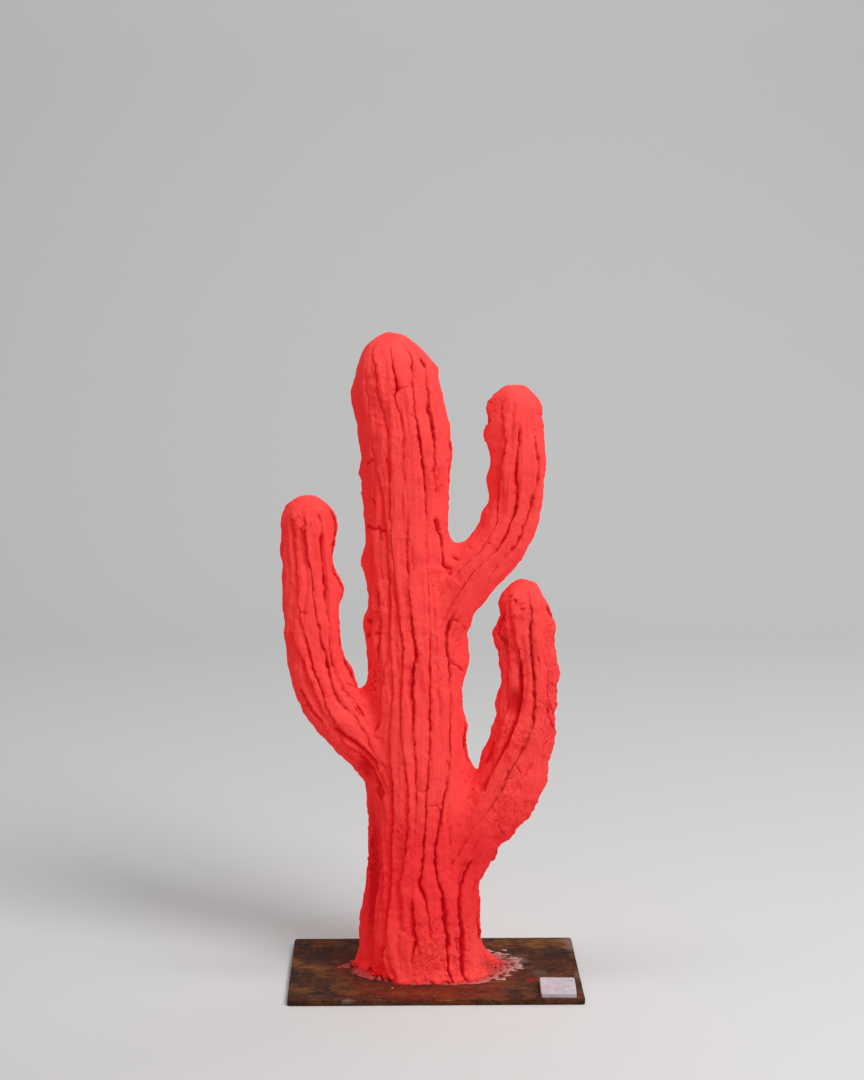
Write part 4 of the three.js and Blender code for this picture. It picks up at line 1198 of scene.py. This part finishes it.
def rusty_steel():
    """Mild steel left to rust: brown scale with ochre bloom, blue-black mill scale and brushed scratches,
    with painted shade in front of the foot.
    """
    material, add, where = new_material("rusty_mild_steel")
    dark, ochre, worn, spray = (
        add("Attribute", attribute_name=name, output="Fac") for name in ("dark", "ochre", "worn", "spray")
    )
    stretched = add("Mapping", where, Scale=(0.8, 1.0, 1.0))
    brushed = add("Mapping", where, Rotation=(0, 0, 0.12), Scale=(0.06, 1.0, 1.0))
    broad = add("TexNoise", where, 1 / 0.04, 5, 0.62)
    mottle = add("TexNoise", stretched, 1 / 0.008, 8, 0.72)
    fine = add("TexNoise", where, 1 / 0.002, 4, 0.7)
    pit = add("MapRange", add("TexNoise", where, 1 / 0.003, 3, 0.6), 0.57, 0.66)
    streak = add("MapRange", add("TexNoise", brushed, 1 / 0.0014, 4, 0.7), 0.55, 0.66)
    scratch = add("Math", streak, add("MapRange", broad, 0.44, 0.62))
    brown = add("Mix", add("MapRange", mottle, 0.4, 0.62), linear("#371d15"), linear("#5a3421"))
    for share, colour in (
        (add("MapRange", broad, 0.52, 0.72), "#6b3a1e"),  # warmer rust in broad clouds
        (add("Math", scratch, 0.7), "#b37a48"),  # brushed scratches
        (add("MapRange", broad, 0.46, 0.3), "#35221d"),  # darker clouds
        (add("Math", add("MapRange", fine, 0.55, 0.66), 0.4), "#8c5232"),  # specks of fresh rust
        (add("Math", pit, 0.5), "#1c1211"),  # pits
        (add("Math", ochre, add("MapRange", mottle, 0.32, 0.62)), "#7b5026"),  # ochre bloom
        (add("Math", dark, add("MapRange", mottle, 0.68, 0.4)), "#1b1b22"),  # blue-black mill scale, and the painted shade ring in front of the foot
        (add("Math", worn, 0.7), "#8d7568"),  # rubbed corners
        (add("Math", add("Math", spray, add("MapRange", fine, 0.25, 0.7)), 0.75), "#931f12"),  # overspray
    ):
        brown = add("Mix", share, brown, linear(colour))
    relief = add("Math", mottle, add("Math", fine, 0.6), operation="ADD")
    shader = add(
        "BsdfPrincipled",
        Base_Color=brown,
        Roughness=add("MapRange", mottle, 0.3, 0.7, 0.7, 0.9, interpolation_type="LINEAR"),
        Specular_IOR_Level=0.1,
        Normal=add("Bump", Strength=1.0, Distance=0.0012, Height=relief),
    )
    add("OutputMaterial", shader)
    return material


# How far the smear of plaster reaches past the foot: [degrees from the front towards +X, millimetres].
CRUST_REACH = [
    [-180, 5], [-150, 5], [-115, 9], [-90, 14], [-70, 7], [-50, 3], [-20, 2], [10, 2], [30, 5], [45, 11],
    [60, 20], [80, 34], [100, 37], [120, 26], [145, 9], [180, 5],
]
CRUST_STEPS = np.array([1.2, 1.2, 0.45])  # spacing of the grid that the crust is drawn on
CRUST_LOW = np.array([-100.0, -76.0, PLATE_TOP - 1.2])
CRUST_SIZE = np.array([196.0, 156.0, 6.6])


def foot_crust():
    """The smear of plaster and paint round the foot: a low drift, torn at its rim and full of gaps.

    Its height over the plate falls off from the foot to nothing at CRUST_REACH, broken by noise. Below the
    plate's top, and well inside the foot, it is cut off.
    """
    size = (CRUST_SIZE / CRUST_STEPS).astype(int)
    steps = [low + step * np.arange(count) for low, step, count in zip(CRUST_LOW, CRUST_STEPS, size)]
    flat = np.stack(np.meshgrid(*steps[:2], indexing="ij"), axis=-1).reshape(-1, 2)
    flat = np.column_stack([flat, np.full(len(flat), PLATE_TOP)])
    gap = foot_gap(flat)
    turn = np.degrees(np.arctan2(flat[:, 0] + 7, 4 - flat[:, 1]))
    reach = np.interp(turn, *np.array(CRUST_REACH, float).T)
    torn = 0.45 * lattice_noise(flat, 8.0, SEED + 80) + 0.3 * lattice_noise(flat, 3.0, SEED + 81)
    reach = reach * (0.85 + torn)
    rise = np.clip(1 - gap / np.maximum(reach, 0.5), 0, 1.4)
    broken = 0.58 + 0.85 * lattice_noise(flat, 4.0, SEED + 82) + 0.65 * lattice_noise(flat, 2.2, SEED + 83)
    height = np.minimum(2.3 * rise * broken - 0.45, 3.5)
    height = np.where((gap < reach) & (gap > -6), height, -0.9).reshape(size[0], size[1], 1)
    inner = (-5 - gap).reshape(size[0], size[1], 1)
    above = steps[2][None, None, :] - PLATE_TOP
    field = np.maximum(np.maximum(above - height, -0.5 - above), inner)
    points, quads = skin_of(field, CRUST_LOW, CRUST_STEPS)
    crust = add_mesh("foot_crust", points, quads)
    add_attribute(crust.data, "gap", foot_gap(points))
    add_attribute(crust.data, "pale", np.clip((points[:, 0] - 15) / 25, 0.3, 1))
    return crust


RINGS, AROUND = 6, 10  # rings of points on a crumb, and points on each ring
CRUMBS = [  # [across, down, millimetres] in the frame
    [392, 988.5, 0.9], [514.5, 968, 0.8], [434.7, 996.5, 0.6], [504, 979, 0.7], [511, 957, 0.9],
    [352, 978, 0.6], [489, 982, 0.8], [497, 986, 0.5],
]


def crumbs():
    """Crumbs of plaster on the plate: squashed balls, each ring of points pushed in and out at random."""
    spots = on_plate(np.array(CRUMBS)[:, :2])
    sizes = np.array(CRUMBS)[:, 2]
    rise = np.linspace(0, np.pi, RINGS + 2)[1:-1, None]
    turn = np.linspace(0, 2 * np.pi, AROUND + 1)[:-1]
    out = np.sin(rise)
    ring = np.stack([out * np.cos(turn), out * np.sin(turn), np.cos(rise) + 0 * turn], axis=-1)
    ball = np.vstack([ring.reshape(-1, 3), [[0, 0, 1], [0, 0, -1]]])
    number = np.arange(RINGS * AROUND).reshape(RINGS, AROUND)
    beside = np.roll(number, -1, axis=1)
    sides = np.stack([number[:-1], number[1:], beside[1:], beside[:-1]], axis=-1).reshape(-1, 4)
    top = np.stack([np.full(AROUND, number.size), number[0], beside[0]], axis=1)
    bottom = np.stack([np.full(AROUND, number.size + 1), beside[-1], number[-1]], axis=1)
    ball_faces = np.vstack([sides[:, [0, 1, 2]], sides[:, [0, 2, 3]], top, bottom])
    rng = np.random.default_rng(SEED + 90)
    count = len(sizes)
    push = 1 + rng.uniform(-0.28, 0.28, (count, len(ball), 1))
    squash = rng.uniform(0.7, 1.3, (count, 1, 3)) * [1, 1, 0.6]
    points = spots[:, None, :] + ball * push * squash * sizes[:, None, None]
    points[..., 2] += 0.3 * sizes[:, None]
    faces = ball_faces + (np.arange(count) * len(ball))[:, None, None]
    piece = add_mesh("plaster_crumbs", points.reshape(-1, 3), faces.reshape(-1, 3))
    add_attribute(piece.data, "gap", np.full(count * len(ball), 14.0))
    add_attribute(piece.data, "pale", np.repeat(np.where(np.arange(count) < 2, 1, 0.35), len(ball)))
    return piece


def crust_plaster():
    """Plaster smeared thin on the steel: grey and pale crumbs, rust showing through, red overspray."""
    material, add, where = new_material("smeared_plaster_crust")
    gap, pale = (add("Attribute", attribute_name=name, output="Fac") for name in ("gap", "pale"))
    lump = add("TexNoise", where, 1 / 0.005, 4, 0.65)
    grain = add("TexNoise", where, 1 / 0.0012, 4, 0.7)
    grey = add("Mix", add("MapRange", lump, 0.35, 0.62), linear("#5e3a33"), linear("#a56c62"))
    grey = add("Mix", add("Math", add("MapRange", grain, 0.44, 0.58), pale), grey, linear("#dab4af"))
    spray = add("Math", add("MapRange", gap, 19.0, 1.0), add("MapRange", grain, 0.36, 0.56))
    relief = add("Math", lump, grain, operation="ADD")
    shader = add(
        "BsdfPrincipled",
        Base_Color=add("Mix", spray, grey, linear("#c93a3c")),
        Roughness=0.9,
        Specular_IOR_Level=0.15,
        Normal=add("Bump", Strength=0.7, Distance=0.0006, Height=relief),
    )
    add("OutputMaterial", shader)
    return material


TILE_AT = (103.5, -60.5)
TILE_TURN = -1.5  # degrees


def white_tile():
    """A small hand-pressed plaster tile: slightly cushioned, with soft worn edges."""
    points, quads = slab(30.0, 41.0, 4.5, 2.0, 0.9, 0.8, SEED + 60, 0.35)
    turn = math.radians(TILE_TURN)
    spin = np.array([[math.cos(turn), math.sin(turn), 0], [-math.sin(turn), math.cos(turn), 0], [0, 0, 1]])
    points = points @ spin + np.array([*TILE_AT, PLATE_TOP + 0.1])
    return add_mesh("white_tile", points, quads)


def white_plaster():
    """Unpainted plaster, cool white, with faint trowel drag, and pinholes darkened as painted shade."""
    material, add, where = new_material("bare_white_plaster")
    cloud = add("MapRange", add("TexNoise", where, 1 / 0.009, 4, 0.6), 0.35, 0.65)
    grain = add("TexNoise", where, 1 / 0.001, 4, 0.65)
    # painted shade in the pinholes
    pore = add("Math", add("MapRange", grain, 0.36, 0.27), 0.5)
    white = add("Mix", cloud, linear("#aba1a8"), linear("#bdb4bb"))
    shader = add(
        "BsdfPrincipled",
        Base_Color=add("Mix", pore, white, linear("#a3959d")),
        Roughness=0.8,
        Specular_IOR_Level=0.25,
        Normal=add("Bump", Strength=0.35, Distance=0.0003, Height=grain),
    )
    add("OutputMaterial", shader)
    return material


def rod_steel():
    """Drawn mild-steel rod, lightly oxidised: the wire frame inside the plaster."""
    material, add, where = new_material("drawn_steel_rod")
    film = add("MapRange", add("TexNoise", where, 1 / 0.006, 4, 0.6), 0.35, 0.7)
    grey = add("Mix", film, linear("#6f6a66"), linear("#5b4438"))
    add("OutputMaterial", add("BsdfPrincipled", Base_Color=grey, Metallic=0.8, Roughness=0.45))
    return material


plate = steel_plate()
plate.data.materials.append(rusty_steel())
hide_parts("base_plate")
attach(plate, "root")

plaster = crust_plaster()
for scrap in (foot_crust(), crumbs()):
    scrap.data.materials.append(plaster)
    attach(scrap, "root")

tile = white_tile()
tile.data.materials.append(white_plaster())
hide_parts("corner_tile")
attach(tile, "root")

rod = rod_steel()
for name in ("armature_upright", "rod_left_arm", "rod_upper_right_arm", "rod_lower_right_arm"):
    part = bpy.data.objects[name]
    part.data.materials.clear()
    part.data.materials.append(rod)

# ---------------------------------------------------------------------------------------------------
# Stage
# ---------------------------------------------------------------------------------------------------


def add_stage():
    """A studio backdrop in one sheet: a level floor that turns up behind on a quarter circle into a wall."""
    front, under, back, bend, top, half_width = -20000, -1200, 1500.0, 900.0, 4200.0, 20000.0
    sweep = np.linspace(0, np.pi / 2, 17)
    deep = np.concatenate([[front, under], back + bend * np.sin(sweep), [back + bend]])
    high = np.concatenate([[0, 0], bend * (1 - np.cos(sweep)), [top]])
    wide = np.linspace(-half_width, half_width, 5)
    deep, high = deep[:, None], high[:, None]
    points = np.stack([wide + 0 * deep, deep + 0 * wide, high + 0 * wide], axis=-1)
    number = np.arange(points.shape[0] * points.shape[1]).reshape(points.shape[:2])
    quads = np.stack([number[:-1, :-1], number[:-1, 1:], number[1:, 1:], number[1:, :-1]], axis=-1)
    floor = add_mesh("studio_floor", points.reshape(-1, 3), quads.reshape(-1, 4))
    material, add, _ = new_material("studio_paper")
    paper = add("BsdfPrincipled", Base_Color=linear("#c9c9c9"), Roughness=0.95, Specular_IOR_Level=0.1)
    add("OutputMaterial", paper)
    floor.data.materials.append(material)


def add_world():
    world = bpy.data.worlds.new("studio")
    world.use_nodes = True
    background = world.node_tree.nodes["Background"]
    background.inputs["Color"].default_value = (1, 1, 1, 1)
    background.inputs["Strength"].default_value = 0.15
    bpy.context.scene.world = world


add_stage()
add_world()
add_softbox("key", (1.05, -1.15, 1.75), (0, 0, 0.3), 0.9, 0.9, 39)
add_softbox("behind", (1.4, 1.2, 1.7), (0, 0, 0.3), 0.9, 0.9, 5)
add_softbox("backdrop", (0, -0.2, 3.4), (0, 2.6, 1.0), 3.0, 1.0, 68)
bpy.context.scene.view_settings.view_transform = "Standard"
